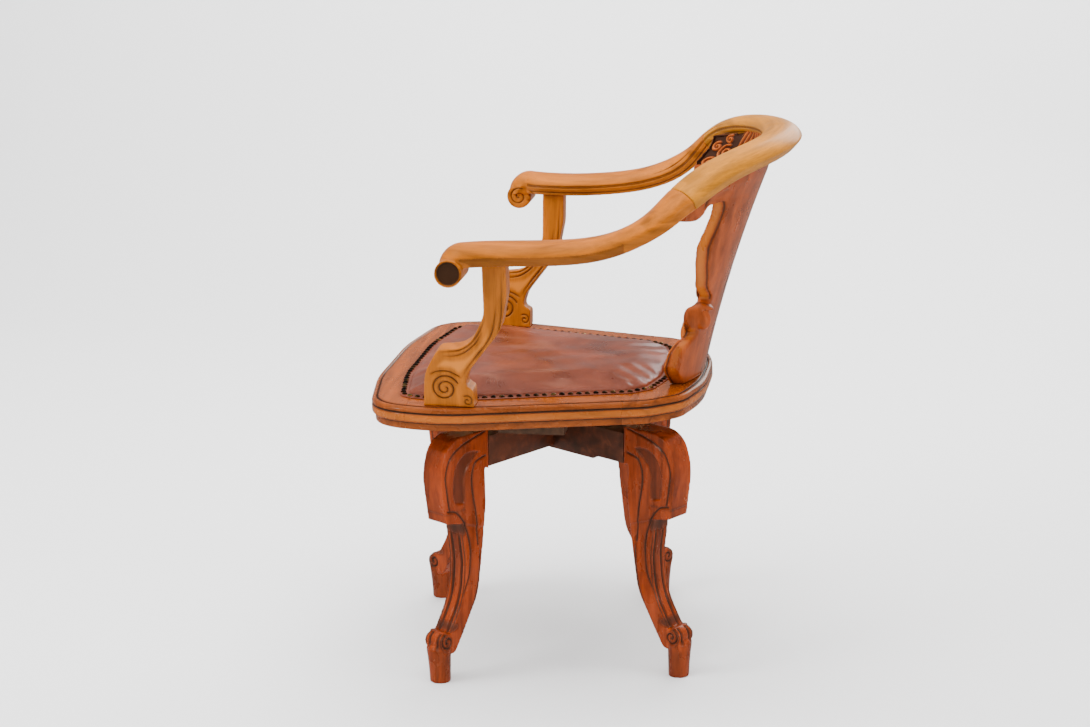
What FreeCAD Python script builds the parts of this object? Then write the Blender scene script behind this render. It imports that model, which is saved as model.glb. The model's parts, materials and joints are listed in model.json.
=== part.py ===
import FreeCAD, Part
import math
import os

# Revolving desk armchair in carved wood: four shaped legs on a half-lapped cross carry an iron
# swivel, and the swivel carries a seat frame with a nailed leather pad, a horseshoe rail of two
# scrolled arms and a crest, and a curved back splat. Millimetres. The sitter faces -Y, +X is the
# sitter's left, and the floor is z = 0.

doc = FreeCAD.newDocument("revolving_desk_chair")
sheet = doc.addObject("Spreadsheet::Sheet", "sizes")

# Every driving size: its name and its value in millimetres (degrees for the angles).
SIZES = [
    # whole chair
    ("axis_offset", -60.9),         # y of the swivel axis, so that the chair's box is centred
    ("base_turn", 11.4),            # how far the base stands turned under the seat
    # carved legs
    ("foot_reach", 251.0),          # swivel axis to the middle of a foot
    ("leg_tall", 373.5),
    ("leg_thick", 40.0),
    ("shin_thick", 35.0),
    ("leg_seam", 160.0),            # swivel axis to the joint of leg and cross rail
    ("shoulder_reach", 256.0),      # swivel axis to the outermost bulge of a leg
    ("foot_wide", 30.0),
    ("foot_tall", 58.0),
    ("foot_taper", 1.5),            # degrees
    ("volute_radius", 13.5),
    ("volute_width", 36.0),
    # cross rails
    ("leg_proud", 11.5),            # how far the legs' tops stand over the cross rails
    ("cross_deep", 46.0),
    ("cross_wide", 40.0),
    ("belly_long", 200.0),          # deeper middle of the lower cross rail
    ("belly_deep", 5.0),
    # iron swivel
    ("iron_thick", 5.0),
    ("lower_plate_radius", 56.0),
    ("upper_plate_radius", 66.0),
    ("boss_radius", 28.0),
    ("boss_tall", 4.0),
    ("washer_thick", 2.0),
    ("thrust_gap", 0.02),
    ("spindle_radius", 12.0),
    ("running_gap", 0.05),
    ("bush_wall", 4.0),
    ("tail_radius", 8.0),
    ("nut_recess_radius", 23.0),
    ("nut_recess_deep", 16.0),
    ("retainer_radius", 20.0),
    ("retainer_thick", 3.0),
    ("retainer_gap", 0.3),
    ("nut_flats", 24.0),
    ("nut_tall", 9.0),
    # seat board and frame
    ("board_thick", 18.0),
    ("board_lap", 12.0),            # how far the board's ends reach under the side rails
    ("board_wide", 96.0),
    ("frame_thick", 35.0),
    ("fascia_tall", 11.0),
    ("fascia_step", 5.0),
    ("seat_wide", 516.0),
    ("seat_front", 250.0),          # swivel axis to the front edge
    ("seat_rear", 240.0),           # swivel axis to the rear edge
    ("frame_band", 78.0),           # width of the wooden ring
    ("rebate_inset", 50.0),
    ("rebate_deep", 7.0),
    ("front_rail_deep", 78.0),      # front edge to the front rail's joints
    ("rear_rail_deep", 108.0),      # rear edge to the rear rail's joints
    # upholstery
    ("web_thick", 1.5),
    ("web_wide", 46.0),
    ("splat_room", 12.0),           # how much further in the leather ends at the rear
    ("leather_thick", 2.0),
    ("stuffing_gap", 3.0),          # between the rebate's wall and the stuffing
    ("pad_crown", 17.0),
    ("pad_round", 12.0),            # rounding of the pad's upper edge
    ("nail_gap", 0.4),              # nail to the leather's edge and to the pad
    ("nail_radius", 4.6),
    ("nail_pitch", 12.4),
    # arm supports
    ("support_thick", 30.0),
    ("support_inset", 26.0),        # half the seat's width to the middle of a support
    ("support_lean", 6.2),
    # horseshoe rail
    ("rail_wide", 60.0),
    ("rail_band", 14.0),            # height of the moulded side band
    ("rail_dome", 17.0),            # rise of the rounded top over the band
    ("arm_belly", 4.0),             # how far the underside is drawn in on the arms
    ("crest_belly", 12.0),          # the same at the middle of the crest
    ("arm_rise", 229.0),            # seat frame's top to the middle height of the arms
    ("crest_rise", 125.0),          # from there to the middle height of the crest
    ("arm_outset", 2.0),            # how far out of a support's middle the arm's middle runs
    ("crest_reach", 341.0),         # swivel axis to the middle of the crest
    ("scroll_bend", 79.0),          # swivel axis forward to where an arm turns down
    ("bend_radius", 17.0),
    ("scroll_reach", 93.0),         # swivel axis forward to the middle of a scroll
    ("scroll_drop", 21.5),          # arm's middle height down to the middle of a scroll
    ("scroll_radius", 19.5),
    ("scroll_wide", 61.0),
    ("crest_share", 0.465),         # part of the horseshoe's length that is crest
    # back splat
    ("splat_thick", 19.0),
    ("splat_inset", 9.0),           # seat's rear edge to the splat's rear face
    ("splat_foot_radius", 190.0),
    ("splat_head_radius", 262.0),
    ("splat_hollow", 9.0),          # how far the splat's side view bends forward of straight
    # fastenings
    ("dowel_radius", 5.0),
    ("dowel_long", 44.0),
    ("slim_dowel_radius", 4.0),
    ("slim_dowel_long", 36.0),
    ("head_dowel_long", 28.0),
    ("screw_radius", 2.5),
    ("screw_head", 5.0),
    ("screw_long", 24.0),
    ("plate_screw_long", 18.0),
]

PAST = 10.0                         # how far a cutting shape runs past the face that it cuts
ARM_WAIST = 0.925                   # the arms' narrowest spread, over their spread at the scrolls
ARM_END = 0.98                      # the same for the point where an arm turns down

for row, (alias, value) in enumerate(SIZES, start=1):
    sheet.set("A%d" % row, alias)
    sheet.set("B%d" % row, str(value))
    sheet.setAlias("B%d" % row, alias)
doc.recompute()


def size(alias):
    """The sheet's value under this name."""
    return float(getattr(sheet, alias))


# Heights and places that follow from the sizes.
CROSS_TOP = "(sizes.leg_tall - sizes.leg_proud)"
cross_top = size("leg_tall") - size("leg_proud")
lower_plate_top = cross_top + size("iron_thick")
washer_bottom = lower_plate_top + size("boss_tall")
washer_top = washer_bottom + size("washer_thick")
upper_boss_bottom = washer_top + size("thrust_gap")
upper_plate_bottom = upper_boss_bottom + size("boss_tall")
board_bottom = upper_plate_bottom + size("iron_thick")
frame_bottom = board_bottom + size("board_thick")
frame_top = frame_bottom + size("frame_thick")
rebate_floor = frame_top - size("rebate_deep")
recess_top = cross_top - size("cross_deep") + size("nut_recess_deep")
rail_tall = size("rail_band") + size("rail_dome")
arm_level = frame_top + size("arm_rise")
arm_underside = arm_level - rail_tall / 2
crest_level = arm_level + size("crest_rise")
front_joint = size("seat_front") - size("front_rail_deep")
rear_joint = size("seat_rear") - size("rear_rail_deep")
board_long = size("seat_wide") - 2 * (size("frame_band") - size("board_lap"))
stuffing_inset = size("rebate_inset") + size("stuffing_gap")
swell_inset = stuffing_inset - size("leather_thick")
nail_inset = swell_inset - size("nail_gap") - size("nail_radius")
leather_inset = nail_inset - size("nail_radius") - size("nail_gap")
splat_foot = size("seat_rear") - size("splat_inset")
support_base = size("seat_wide") / 2 - size("support_inset")
support_top = support_base + (arm_underside - frame_top) * math.tan(math.radians(size("support_lean")))
arm_spread = (support_top + size("arm_outset")) / ARM_WAIST

QUARTERS = {"front_left": -45.0, "rear_left": 45.0, "rear_right": 135.0, "front_right": -135.0}


# ---------------------------------------------------------------- shared geometry

def rounded_loop(corners):
    """Lines and arcs of a closed outline; a corner is (x, y, radius)."""
    count = len(corners)
    points = [FreeCAD.Vector(x, y, 0) for x, y, radius in corners]
    starts = []
    ends = []
    arcs = []
    for i, (x, y, radius) in enumerate(corners):
        back = points[i - 1] - points[i]
        ahead = points[(i + 1) % count] - points[i]
        turn = math.pi - back.getAngle(ahead)
        reach = radius * math.tan(turn / 2)
        longest = 0.49 * min(back.Length, ahead.Length)
        reach = min(reach, longest)
        if radius == 0 or turn < 0.01:
            starts.append(points[i])
            ends.append(points[i])
            arcs.append(None)
            continue
        first = points[i] + back.normalize() * reach
        last = points[i] + ahead.normalize() * reach
        to_middle = ((first + last) / 2 - points[i]).normalize()
        true_radius = reach / math.tan(turn / 2)
        sagitta = true_radius / math.cos(turn / 2) - true_radius
        starts.append(first)
        ends.append(last)
        arcs.append(Part.Arc(first, points[i] + to_middle * sagitta, last))
    pieces = []
    for i in range(count):
        if arcs[i] is not None:
            pieces.append(arcs[i])
        following = starts[(i + 1) % count]
        if ends[i].distanceToPoint(following) > 1e-6:
            pieces.append(Part.LineSegment(ends[i], following))
    return pieces


def loop_wire(corners, z=0.0):
    """The same outline as a wire at height z."""
    wire = Part.Wire([piece.toShape() for piece in rounded_loop(corners)])
    wire.translate(FreeCAD.Vector(0, 0, z))
    return wire


def inset_corners(corners, inset):
    """A convex, anticlockwise outline drawn in by a distance."""
    count = len(corners)
    result = []
    for i, (x, y, radius) in enumerate(corners):
        before = corners[i - 1]
        after = corners[(i + 1) % count]
        first = FreeCAD.Vector(x - before[0], y - before[1], 0).normalize()
        second = FreeCAD.Vector(after[0] - x, after[1] - y, 0).normalize()
        inward = FreeCAD.Vector(-first.y - second.y, first.x + second.x, 0).normalize()
        shift = inset / (inward.x * -first.y + inward.y * first.x)
        smallest = 6.0
        result.append((x + inward.x * shift, y + inward.y * shift, max(radius - inset, smallest)))
    return result


def mirrored(half):
    """A whole outline from its +X half."""
    return half + [(-x, y, radius) for x, y, radius in reversed(half)]


def bind(obj, **formulas):
    """Ties properties of an object to the sheet."""
    for name, formula in formulas.items():
        obj.setExpression(name.replace("__", "."), formula)
    return obj


def on_axis(obj, height="0 mm", turn="0"):
    """Stands an object on the swivel axis at a height, turned about the axis."""
    obj.Placement.Rotation = FreeCAD.Rotation(FreeCAD.Vector(0, 0, 1), 0)
    bind(obj, Placement__Base__y="sizes.axis_offset * 1 mm", Placement__Base__z=height)
    obj.setExpression("Placement.Rotation.Angle", "(" + turn + ") * 1 deg")
    return obj


def cylinder(name, radius, tall, height):
    """An upright cylinder on the swivel axis; its sizes are formulas in the sheet's names."""
    obj = doc.addObject("Part::Cylinder", name)
    bind(obj, Radius="(" + radius + ") * 1 mm", Height="(" + tall + ") * 1 mm")
    return on_axis(obj, "(" + height + ") * 1 mm")


def box(name, long, wide, tall, height, turn="0", along="0"):
    """A box centred on the swivel axis and turned about it."""
    block = doc.addObject("Part::Box", name)
    bind(block, Length="(" + long + ") * 1 mm", Width="(" + wide + ") * 1 mm")
    bind(block, Height="(" + tall + ") * 1 mm")
    angle = "(" + turn + ") * 1 deg"
    across = "-(" + long + ") / 2"
    depth = "-(" + wide + ") / 2"
    block.Placement.Rotation = FreeCAD.Rotation(FreeCAD.Vector(0, 0, 1), 0)
    bind(
        block,
        Placement__Base__x="((" + across + ") * cos(" + angle
        + ") - (" + depth + ") * sin(" + angle + ")) * 1 mm",
        Placement__Base__y="(sizes.axis_offset + (" + along + ") + (" + across + ") * sin(" + angle
        + ") + (" + depth + ") * cos(" + angle + ")) * 1 mm",
        Placement__Base__z="(" + height + ") * 1 mm",
    )
    block.setExpression("Placement.Rotation.Angle", angle)
    return block


def joined(name, parts):
    """One object fused from several."""
    obj = doc.addObject("Part::MultiFuse", name)
    obj.Shapes = parts
    obj.Refine = True
    return obj


def cut(name, base, *tools):
    """A piece with the room for other pieces taken out of it."""
    for index, tool in enumerate(tools):
        obj = doc.addObject("Part::Cut", name if index == len(tools) - 1 else name + "_blank")
        obj.Base = base
        obj.Tool = tool
        base = obj
    base.Label = name
    return base


def feature(name, shape):
    """A piece whose shape is worked out here; it stands on the swivel axis."""
    obj = doc.addObject("Part::Feature", name)
    obj.Shape = shape
    return on_axis(obj)


def body_plane(body, role):
    """One of a body's own origin planes."""
    for plane in body.Origin.OriginFeatures:
        if plane.Role == role:
            return plane
    raise ValueError(role)


def sketch(body, role, name, loops, offset=None):
    """A sketch of closed outlines on one of a body's origin planes."""
    drawing = body.newObject("Sketcher::SketchObject", name)
    drawing.AttachmentSupport = [(body_plane(body, role), "")]
    drawing.MapMode = "FlatFace"
    for loop in loops:
        drawing.addGeometry(loop, False)
    if offset is not None:
        drawing.setExpression("AttachmentOffset.Base.z", offset)
    return drawing


def pad(body, drawing, name, length, midplane=False):
    """A padded sketch whose length is a formula."""
    block = body.newObject("PartDesign::Pad", name)
    block.Profile = drawing
    block.Midplane = midplane
    block.setExpression("Length", "(" + length + ") * 1 mm")
    drawing.Visibility = False
    return block


def circle(x, y, radius):
    return Part.Circle(FreeCAD.Vector(x, y, 0), FreeCAD.Vector(0, 0, 1), radius)


def rods(name, places, radius, long):
    """Separate round rods in one node; a place is (middle, direction)."""
    solids = []
    for middle, direction in places:
        axis = FreeCAD.Vector(direction).normalize()
        start = FreeCAD.Vector(middle) - axis * (long / 2)
        solids.append(Part.makeCylinder(radius, long, start, axis))
    return feature(name, Part.makeCompound(solids))


def screws(name, places, long, upward):
    """Countersunk wood screws, separate solids in one node; a place is the middle of a head."""
    axis = FreeCAD.Vector(0, 0, 1 if upward else -1)
    head = size("screw_head")
    shank = size("screw_radius")
    deep = head - shank
    solids = []
    for place in places:
        start = FreeCAD.Vector(place)
        cone = Part.makeCone(head, shank, deep, start, axis)
        point = Part.makeCone(shank, 0.4, long * 0.25, start + axis * (long * 0.75), axis)
        stem = Part.makeCylinder(shank, long * 0.75 - deep, start + axis * deep, axis)
        solids.append(cone.fuse([stem, point]).removeSplitter())
    return feature(name, Part.makeCompound(solids))


def polar(reach, degrees, z):
    """A point about the swivel axis, in the turned base's own directions."""
    angle = math.radians(degrees + size("base_turn"))
    return FreeCAD.Vector(reach * math.cos(angle), reach * math.sin(angle), z)


# ---------------------------------------------------------------- base

def leg_point(reach, height, radius=0.0):
    """A corner of the leg's side view: reach runs from the seam (0) to the foot's middle (1)."""
    seam = size("leg_seam")
    return (seam + reach * (size("foot_reach") - seam), height * size("leg_tall"), radius)


def leg_body(name, angle):
    """One carved leg: a bulging shoulder plank, an S-shaped shin, two side volutes, a peg foot."""
    body = doc.addObject("PartDesign::Body", name + "_body")
    bulge = (size("shoulder_reach") - size("leg_seam")) / (size("foot_reach") - size("leg_seam"))
    shoulder = [
        leg_point(0.00, 0.835, 0),
        leg_point(0.00, 1.000, 0),
        leg_point(bulge * 0.86, 1.000, 52),
        leg_point(bulge * 1.04, 0.860, 90),
        leg_point(bulge * 0.93, 0.662, 2),
        leg_point(0.58, 0.640, 6),
        leg_point(0.13, 0.600, 0),
        leg_point(0.08, 0.700, 40),
        leg_point(0.09, 0.850, 8),
    ]
    shin = [
        leg_point(0.07, 0.720, 0),
        leg_point(0.66, 0.690, 8),
        leg_point(0.54, 0.480, 120),
        leg_point(0.60, 0.330, 120),
        leg_point(0.93, 0.200, 20),
        leg_point(1.04, 0.125, 12),
        leg_point(0.84, 0.110, 12),
        leg_point(0.60, 0.200, 60),
        leg_point(0.27, 0.330, 90),
        leg_point(0.12, 0.560, 120),
    ]
    plank = sketch(body, "XZ_Plane", name + "_plank_outline", [rounded_loop(shoulder)])
    pad(body, plank, name + "_plank", "sizes.leg_thick", midplane=True)
    lower = sketch(body, "XZ_Plane", name + "_shin_outline", [rounded_loop(shin)])
    pad(body, lower, name + "_shin", "sizes.shin_thick", midplane=True)
    eye = circle(size("foot_reach"), size("foot_tall") + 0.45 * size("volute_radius"), size("volute_radius"))
    volute = sketch(body, "XZ_Plane", name + "_volute_outline", [[eye]])
    pad(body, volute, name + "_volutes", "sizes.volute_width", midplane=True)
    peg = sketch(body, "XY_Plane", name + "_foot_outline",
                 [[circle(size("foot_reach"), 0, size("foot_wide") / 2)]])
    foot = pad(body, peg, name + "_foot", "sizes.foot_tall")
    foot.TaperAngle = size("foot_taper")
    return on_axis(body, turn="sizes.base_turn + %g" % angle)


def make_base():
    """Legs, half-lapped cross, and the fixed half of the swivel."""
    dowel_places = []
    dowel_lift = 0.3 * size("cross_deep")
    for angle in QUARTERS.values():
        for lift in (-dowel_lift, dowel_lift):
            middle = polar(size("leg_seam"), angle, cross_top - size("cross_deep") / 2 + lift)
            dowel_places.append((middle, polar(1, angle, 0)))
    dowels = rods("leg_dowels", dowel_places, size("dowel_radius"), size("dowel_long"))
    for corner, angle in QUARTERS.items():
        cut("leg_" + corner, leg_body(corner, angle), dowels)

    bush_outer = cylinder("bush_outer", "sizes.spindle_radius + sizes.running_gap + sizes.bush_wall",
                          "%g" % (washer_bottom - recess_top - size("retainer_gap")),
                          "%g" % (recess_top + size("retainer_gap")))
    bush_inner = cylinder("bush_inner", "sizes.spindle_radius + sizes.running_gap",
                          "%g" % size("leg_tall"), "0")
    cut("pivot_bush", bush_outer, bush_inner)
    recess = cylinder("nut_recess", "sizes.nut_recess_radius",
                      "sizes.nut_recess_deep + sizes.retainer_gap + %g" % PAST,
                      CROSS_TOP + " - sizes.cross_deep - %g" % PAST)
    core = joined("cross_core", [bush_outer, recess])

    screw_circle = (size("lower_plate_radius") + size("boss_radius")) / 2
    plate_screw_places = [polar(screw_circle, angle, lower_plate_top) for angle in QUARTERS.values()]
    plate_screws = screws("lower_plate_screws", plate_screw_places, size("screw_long"), False)
    long = "2 * sizes.leg_seam"
    for name, turn, lap_height in (
        ("cross_rail_lower", "sizes.base_turn + 45", CROSS_TOP + " - sizes.cross_deep / 2"),
        ("cross_rail_upper", "sizes.base_turn + 135", CROSS_TOP + " - sizes.cross_deep - %g" % PAST),
    ):
        beam = box(name + "_beam", long, "sizes.cross_wide", "sizes.cross_deep",
                   CROSS_TOP + " - sizes.cross_deep", turn)
        if name == "cross_rail_lower":
            belly = box(name + "_belly", "sizes.belly_long", "sizes.cross_wide", "sizes.belly_deep",
                        CROSS_TOP + " - sizes.cross_deep - sizes.belly_deep", turn)
            beam = joined(name + "_blank", [beam, belly])
        lap = box(name + "_lap", "sizes.cross_wide", "sizes.cross_wide + %g" % PAST,
                  "sizes.cross_deep / 2 + %g" % PAST, lap_height, turn)
        cut(name, beam, lap, core, dowels, plate_screws)

    plate = cylinder("lower_plate_disc", "sizes.lower_plate_radius", "sizes.iron_thick", CROSS_TOP)
    boss = cylinder("lower_plate_boss", "sizes.boss_radius", "sizes.iron_thick + sizes.boss_tall", CROSS_TOP)
    cut("lower_swivel_plate", joined("lower_plate_blank", [plate, boss]), bush_outer, plate_screws)
    washer = cylinder("washer_disc", "sizes.boss_radius", "sizes.washer_thick", "%g" % washer_bottom)
    cut("thrust_washer", washer, bush_inner)


# ---------------------------------------------------------------- swivel, turning half

def make_spindle():
    """Upper plate, spindle, retaining washer and nut, and the seat board they carry."""
    shaft = cylinder("spindle_shaft", "sizes.spindle_radius", "%g" % (board_bottom - recess_top),
                     "%g" % recess_top)
    thread_past_nut = 3.0
    tail_long = size("retainer_thick") + size("nut_tall") + thread_past_nut
    tail = cylinder("spindle_tail", "sizes.tail_radius", "%g" % (tail_long + 1),
                    "%g" % (recess_top - tail_long))
    spindle = joined("spindle", [shaft, tail])
    plate = cylinder("upper_plate_disc", "sizes.upper_plate_radius", "sizes.iron_thick",
                     "%g" % upper_plate_bottom)
    boss = cylinder("upper_plate_boss", "sizes.boss_radius", "sizes.boss_tall + sizes.iron_thick",
                    "%g" % upper_boss_bottom)
    reach = size("upper_plate_radius") * 0.64
    places = [FreeCAD.Vector(reach * sx, reach * 0.75 * sy, upper_plate_bottom)
              for sx in (-1, 1) for sy in (-1, 1)]
    plate_screws = screws("upper_plate_screws", places, size("plate_screw_long"), True)
    cut("upper_swivel_plate", joined("upper_plate_blank", [plate, boss]), shaft, plate_screws)

    retainer = cylinder("retainer_disc", "sizes.retainer_radius", "sizes.retainer_thick",
                        "%g - sizes.retainer_thick" % recess_top)
    cut("retaining_washer", retainer, tail)
    hexagon = doc.addObject("Part::Prism", "nut_hexagon")
    hexagon.Polygon = 6
    bind(hexagon, Circumradius="sizes.nut_flats / sqrt(3) * 1 mm", Height="sizes.nut_tall * 1 mm")
    on_axis(hexagon, "(%g - sizes.retainer_thick - sizes.nut_tall) * 1 mm" % recess_top)
    cut("retaining_nut", hexagon, tail)

    board = box("board_blank", "%g" % board_long, "sizes.board_wide", "sizes.board_thick",
                "%g" % board_bottom)
    margin = 3 * size("screw_head")
    reach = board_long / 2 - margin
    across = size("board_wide") / 2 - margin
    places = [FreeCAD.Vector(reach * sx, across * sy, board_bottom) for sx in (-1, 1) for sy in (-1, 1)]
    board_screws = screws("seat_board_screws", places, size("board_thick") + 0.4 * size("frame_thick"), True)
    cut("seat_board", board, plate_screws, board_screws)
    return board_screws


# ---------------------------------------------------------------- seat

def seat_corners(inset=0.0, rear_room=0.0):
    """The seat's outline about the swivel axis: bowed front, wide shoulders, narrow bowed rear."""
    half = size("seat_wide") / 2
    front = size("seat_front")
    rear = size("seat_rear") - rear_room
    right_side = [
        (0.36 * half, -front, 400),
        (0.93 * half, -0.905 * front, 72),
        (1.02 * half, -0.49 * front, 190),
        (0.715 * half, 0.70 * rear, 60),
        (0.56 * half, 0.90 * rear, 60),
        (0.24 * half, 1.0 * rear, 300),
    ]
    return inset_corners(mirrored(right_side), inset)


def level_pad(body, name, inset, bottom, tall, rear_room=0.0):
    """A pad of the seat's outline, drawn in by inset, from one height up."""
    outline = rounded_loop(seat_corners(inset, rear_room))
    drawing = sketch(body, "XY_Plane", name + "_outline", [outline], "%g mm" % bottom)
    return pad(body, drawing, name, tall)


def level_pocket(body, name, inset, top, deep):
    """A pocket of the seat's outline, drawn in by inset, from one height down."""
    drawing = sketch(body, "XY_Plane", name + "_outline", [rounded_loop(seat_corners(inset))],
                     "%g mm" % top)
    hollow = body.newObject("PartDesign::Pocket", name)
    hollow.Profile = drawing
    hollow.setExpression("Length", "(" + deep + ") * 1 mm")
    return hollow


def edges_at(shape, height, inset, rear_room=0.0):
    """Names of the edges that follow the seat's outline at a height."""
    guide = loop_wire(seat_corners(inset, rear_room), height)
    names = []
    for index, edge in enumerate(shape.Edges, start=1):
        middle = edge.valueAt((edge.FirstParameter + edge.LastParameter) / 2)
        if abs(middle.z - height) < 0.01 and guide.distToShape(Part.Vertex(middle))[0] < 0.2:
            names.append("Edge%d" % index)
    return names


def fillet(body, name, base, edges, radius):
    """A fillet on named edges of the feature before it."""
    rounding = body.newObject("PartDesign::Fillet", name)
    rounding.Base = (base, edges)
    rounding.Radius = radius
    return rounding


def seat_ring():
    """The wooden ring that the four seat rails are sawn from."""
    body = doc.addObject("PartDesign::Body", "seat_ring")
    level_pad(body, "ring_fascia", size("fascia_step"), frame_bottom, "sizes.frame_thick")
    level_pad(body, "ring_bead", 0.0, frame_bottom + size("fascia_tall"),
              "sizes.frame_thick - sizes.fascia_tall")
    level_pocket(body, "ring_opening", size("frame_band"), frame_top, "sizes.frame_thick")
    rebate = level_pocket(body, "ring_rebate", size("rebate_inset"), frame_top, "sizes.rebate_deep")
    doc.recompute()
    rounding = fillet(body, "ring_top_edge", rebate, edges_at(rebate.Shape, frame_top, 0), 4.0)
    doc.recompute()
    fillet(body, "ring_lower_edge", rounding,
           edges_at(rounding.Shape, frame_bottom + size("fascia_tall"), 0), 4.0)
    return on_axis(body)


def nail_places():
    """Nail positions round the leather's border."""
    wire = loop_wire(seat_corners(nail_inset, size("splat_room")))
    count = int(wire.Length / size("nail_pitch"))
    return wire.discretize(count + 1)[:-1]


def make_nails():
    """Dome-headed nails, separate solids in one node."""
    radius = size("nail_radius")
    rise = radius * 0.6
    ball = (radius * radius + rise * rise) / (2 * rise)
    seat = frame_top + size("leather_thick")
    dome = Part.makeSphere(ball)
    dome.translate(FreeCAD.Vector(0, 0, rise - ball))
    slab = Part.makeCylinder(radius, rise)
    shank_radius = 0.2 * radius
    shank_long = 11.0
    shank = Part.makeCylinder(shank_radius, shank_long + rise / 2, FreeCAD.Vector(0, 0, -shank_long))
    nail = dome.common(slab).fuse(shank).removeSplitter()
    solids = []
    for place in nail_places():
        copy = nail.copy()
        copy.translate(FreeCAD.Vector(place.x, place.y, seat))
        solids.append(copy)
    return feature("seat_nails", Part.makeCompound(solids))


def make_webbing():
    """Two layers of flat straps across the opening, resting in the frame's rebate."""
    reach = Part.Face(loop_wire(seat_corners(stuffing_inset, size("splat_room"))))
    web = size("web_wide")
    thick = size("web_thick")
    pitch = 1.35 * web
    long = 2 * size("seat_wide")
    for layer, name in enumerate(("webbing_front_to_back", "webbing_side_to_side")):
        level = rebate_floor + layer * thick
        area = reach.extrude(FreeCAD.Vector(0, 0, thick))
        area.translate(FreeCAD.Vector(0, 0, level))
        straps = []
        for place in (-1.5, -0.5, 0.5, 1.5):
            near_edge = place * pitch - web / 2
            if layer == 0:
                strap = Part.makeBox(web, long, thick, FreeCAD.Vector(near_edge, -long / 2, level))
            else:
                strap = Part.makeBox(long, web, thick, FreeCAD.Vector(-long / 2, near_edge, level))
            straps.append(strap.common(area))
        feature(name, Part.makeCompound(straps))
    return rebate_floor + 2 * thick


def make_pad(stuffing_bottom, nails):
    """Stuffing between webbing and leather, and the leather nailed over it."""
    crown = frame_top + size("pad_crown")
    room = size("splat_room")
    stuffing = doc.addObject("PartDesign::Body", "seat_stuffing")
    stuffing.Label = "seat_stuffing"
    block = level_pad(stuffing, "stuffing_block", stuffing_inset, stuffing_bottom,
                      "%g" % (crown - size("leather_thick") - stuffing_bottom), room)
    doc.recompute()
    fillet(stuffing, "stuffing_round", block,
           edges_at(block.Shape, crown - size("leather_thick"), stuffing_inset, room),
           size("pad_round") - size("leather_thick") / 2)
    on_axis(stuffing)

    cover = doc.addObject("PartDesign::Body", "leather_blank")
    level_pad(cover, "leather_border", leather_inset, frame_top, "sizes.leather_thick", room)
    swell = level_pad(cover, "leather_swell", swell_inset, frame_top,
                      "sizes.pad_crown", room)
    doc.recompute()
    fillet(cover, "leather_round", swell,
           edges_at(swell.Shape, crown, swell_inset, room), size("pad_round"))
    on_axis(cover)
    cut("seat_leather", cover, stuffing, nails)


def make_seat(board_screws, tools):
    """The four seat rails, their dowels, webbing, pad and nails."""
    ring = seat_ring()
    nails = make_nails()
    middle = frame_bottom + size("frame_thick") / 2
    places = []
    half = size("seat_wide") / 2
    for side in (-1, 1):
        for x in (0.78, 0.90):
            places.append(((side * x * half, -front_joint, middle), (0, 1, 0)))
        for x in (0.50, 0.62):
            places.append(((side * x * half, rear_joint, middle), (0, 1, 0)))
    dowels = rods("seat_frame_dowels", places, size("dowel_radius"), size("dowel_long"))
    fittings = joined("seat_frame_fittings", [dowels, nails, board_screws] + tools)
    wide = size("seat_wide")
    span = front_joint + rear_joint
    between = (rear_joint - front_joint) / 2
    zones = {
        "seat_rail_front": (2 * wide, wide, -front_joint - wide / 2, 0),
        "seat_rail_rear": (2 * wide, wide, rear_joint + wide / 2, 0),
        "seat_rail_left": (wide, span, between, wide / 2),
        "seat_rail_right": (wide, span, between, -wide / 2),
    }
    for name, (long, deep, along, across) in zones.items():
        zone = box(name + "_zone", "%g" % long, "%g" % deep, "sizes.frame_thick + 2 * %g" % PAST,
                   "%g" % (frame_bottom - PAST), along="%g" % along)
        zone.setExpression("Placement.Base.x", "%g * 1 mm" % (across - long / 2))
        part = doc.addObject("Part::Common", name + "_blank")
        part.Base = ring
        part.Tool = zone
        cut(name, part, fittings)
    make_pad(make_webbing(), nails)


# ---------------------------------------------------------------- arms and crest

def horseshoe():
    """The middle line of the rail, from the right arm's bend round the crest to the left's."""
    spread = arm_spread
    reach = size("crest_reach")
    low = arm_level
    rise = crest_level - low
    bend = -size("scroll_bend")
    half = [
        (ARM_END * spread, bend, low),
        (ARM_WAIST * spread, -0.10 * reach, low),
        (ARM_WAIST * spread, 0.17 * reach, low + 0.03 * rise),
        (0.945 * spread, 0.36 * reach, low + 0.12 * rise),
        (0.955 * spread, 0.52 * reach, low + 0.33 * rise),
        (0.885 * spread, 0.655 * reach, low + 0.64 * rise),
        (0.71 * spread, 0.775 * reach, low + 0.85 * rise),
        (0.40 * spread, 0.925 * reach, low + 0.965 * rise),
    ]
    points = [FreeCAD.Vector(-x, y, z) for x, y, z in half]
    points.append(FreeCAD.Vector(0, reach, low + rise))
    points.extend(FreeCAD.Vector(x, y, z) for x, y, z in reversed(half))
    curve = Part.BSplineCurve()
    curve.interpolate(points)
    return curve.toShape()


def rail_section(middle, ahead, belly):
    """The rail's section: underside drawn in by belly, side band, domed top."""
    side = ahead.cross(FreeCAD.Vector(0, 0, 1)).normalize()
    upward = side.cross(ahead).normalize()
    half = size("rail_wide") / 2
    band = size("rail_band")
    dome = size("rail_dome")
    low = -(band + dome) / 2
    corner = {
        "a": middle + side * -(half - belly) + upward * low,
        "b": middle + side * (half - belly) + upward * low,
        "c": middle + side * half + upward * (low + band),
        "d": middle + side * -half + upward * (low + band),
    }
    top = middle + upward * (low + band + dome)
    shoulder = 0.72 * half
    lift = upward * (low + band + dome * 0.68)
    crown = Part.BSplineCurve()
    crown.interpolate([corner["c"], middle + side * shoulder + lift, top,
                       middle + side * -shoulder + lift, corner["d"]])
    return Part.Wire([
        Part.makeLine(corner["a"], corner["b"]),
        Part.makeLine(corner["b"], corner["c"]),
        crown.toShape(),
        Part.makeLine(corner["d"], corner["a"]),
    ])


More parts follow.
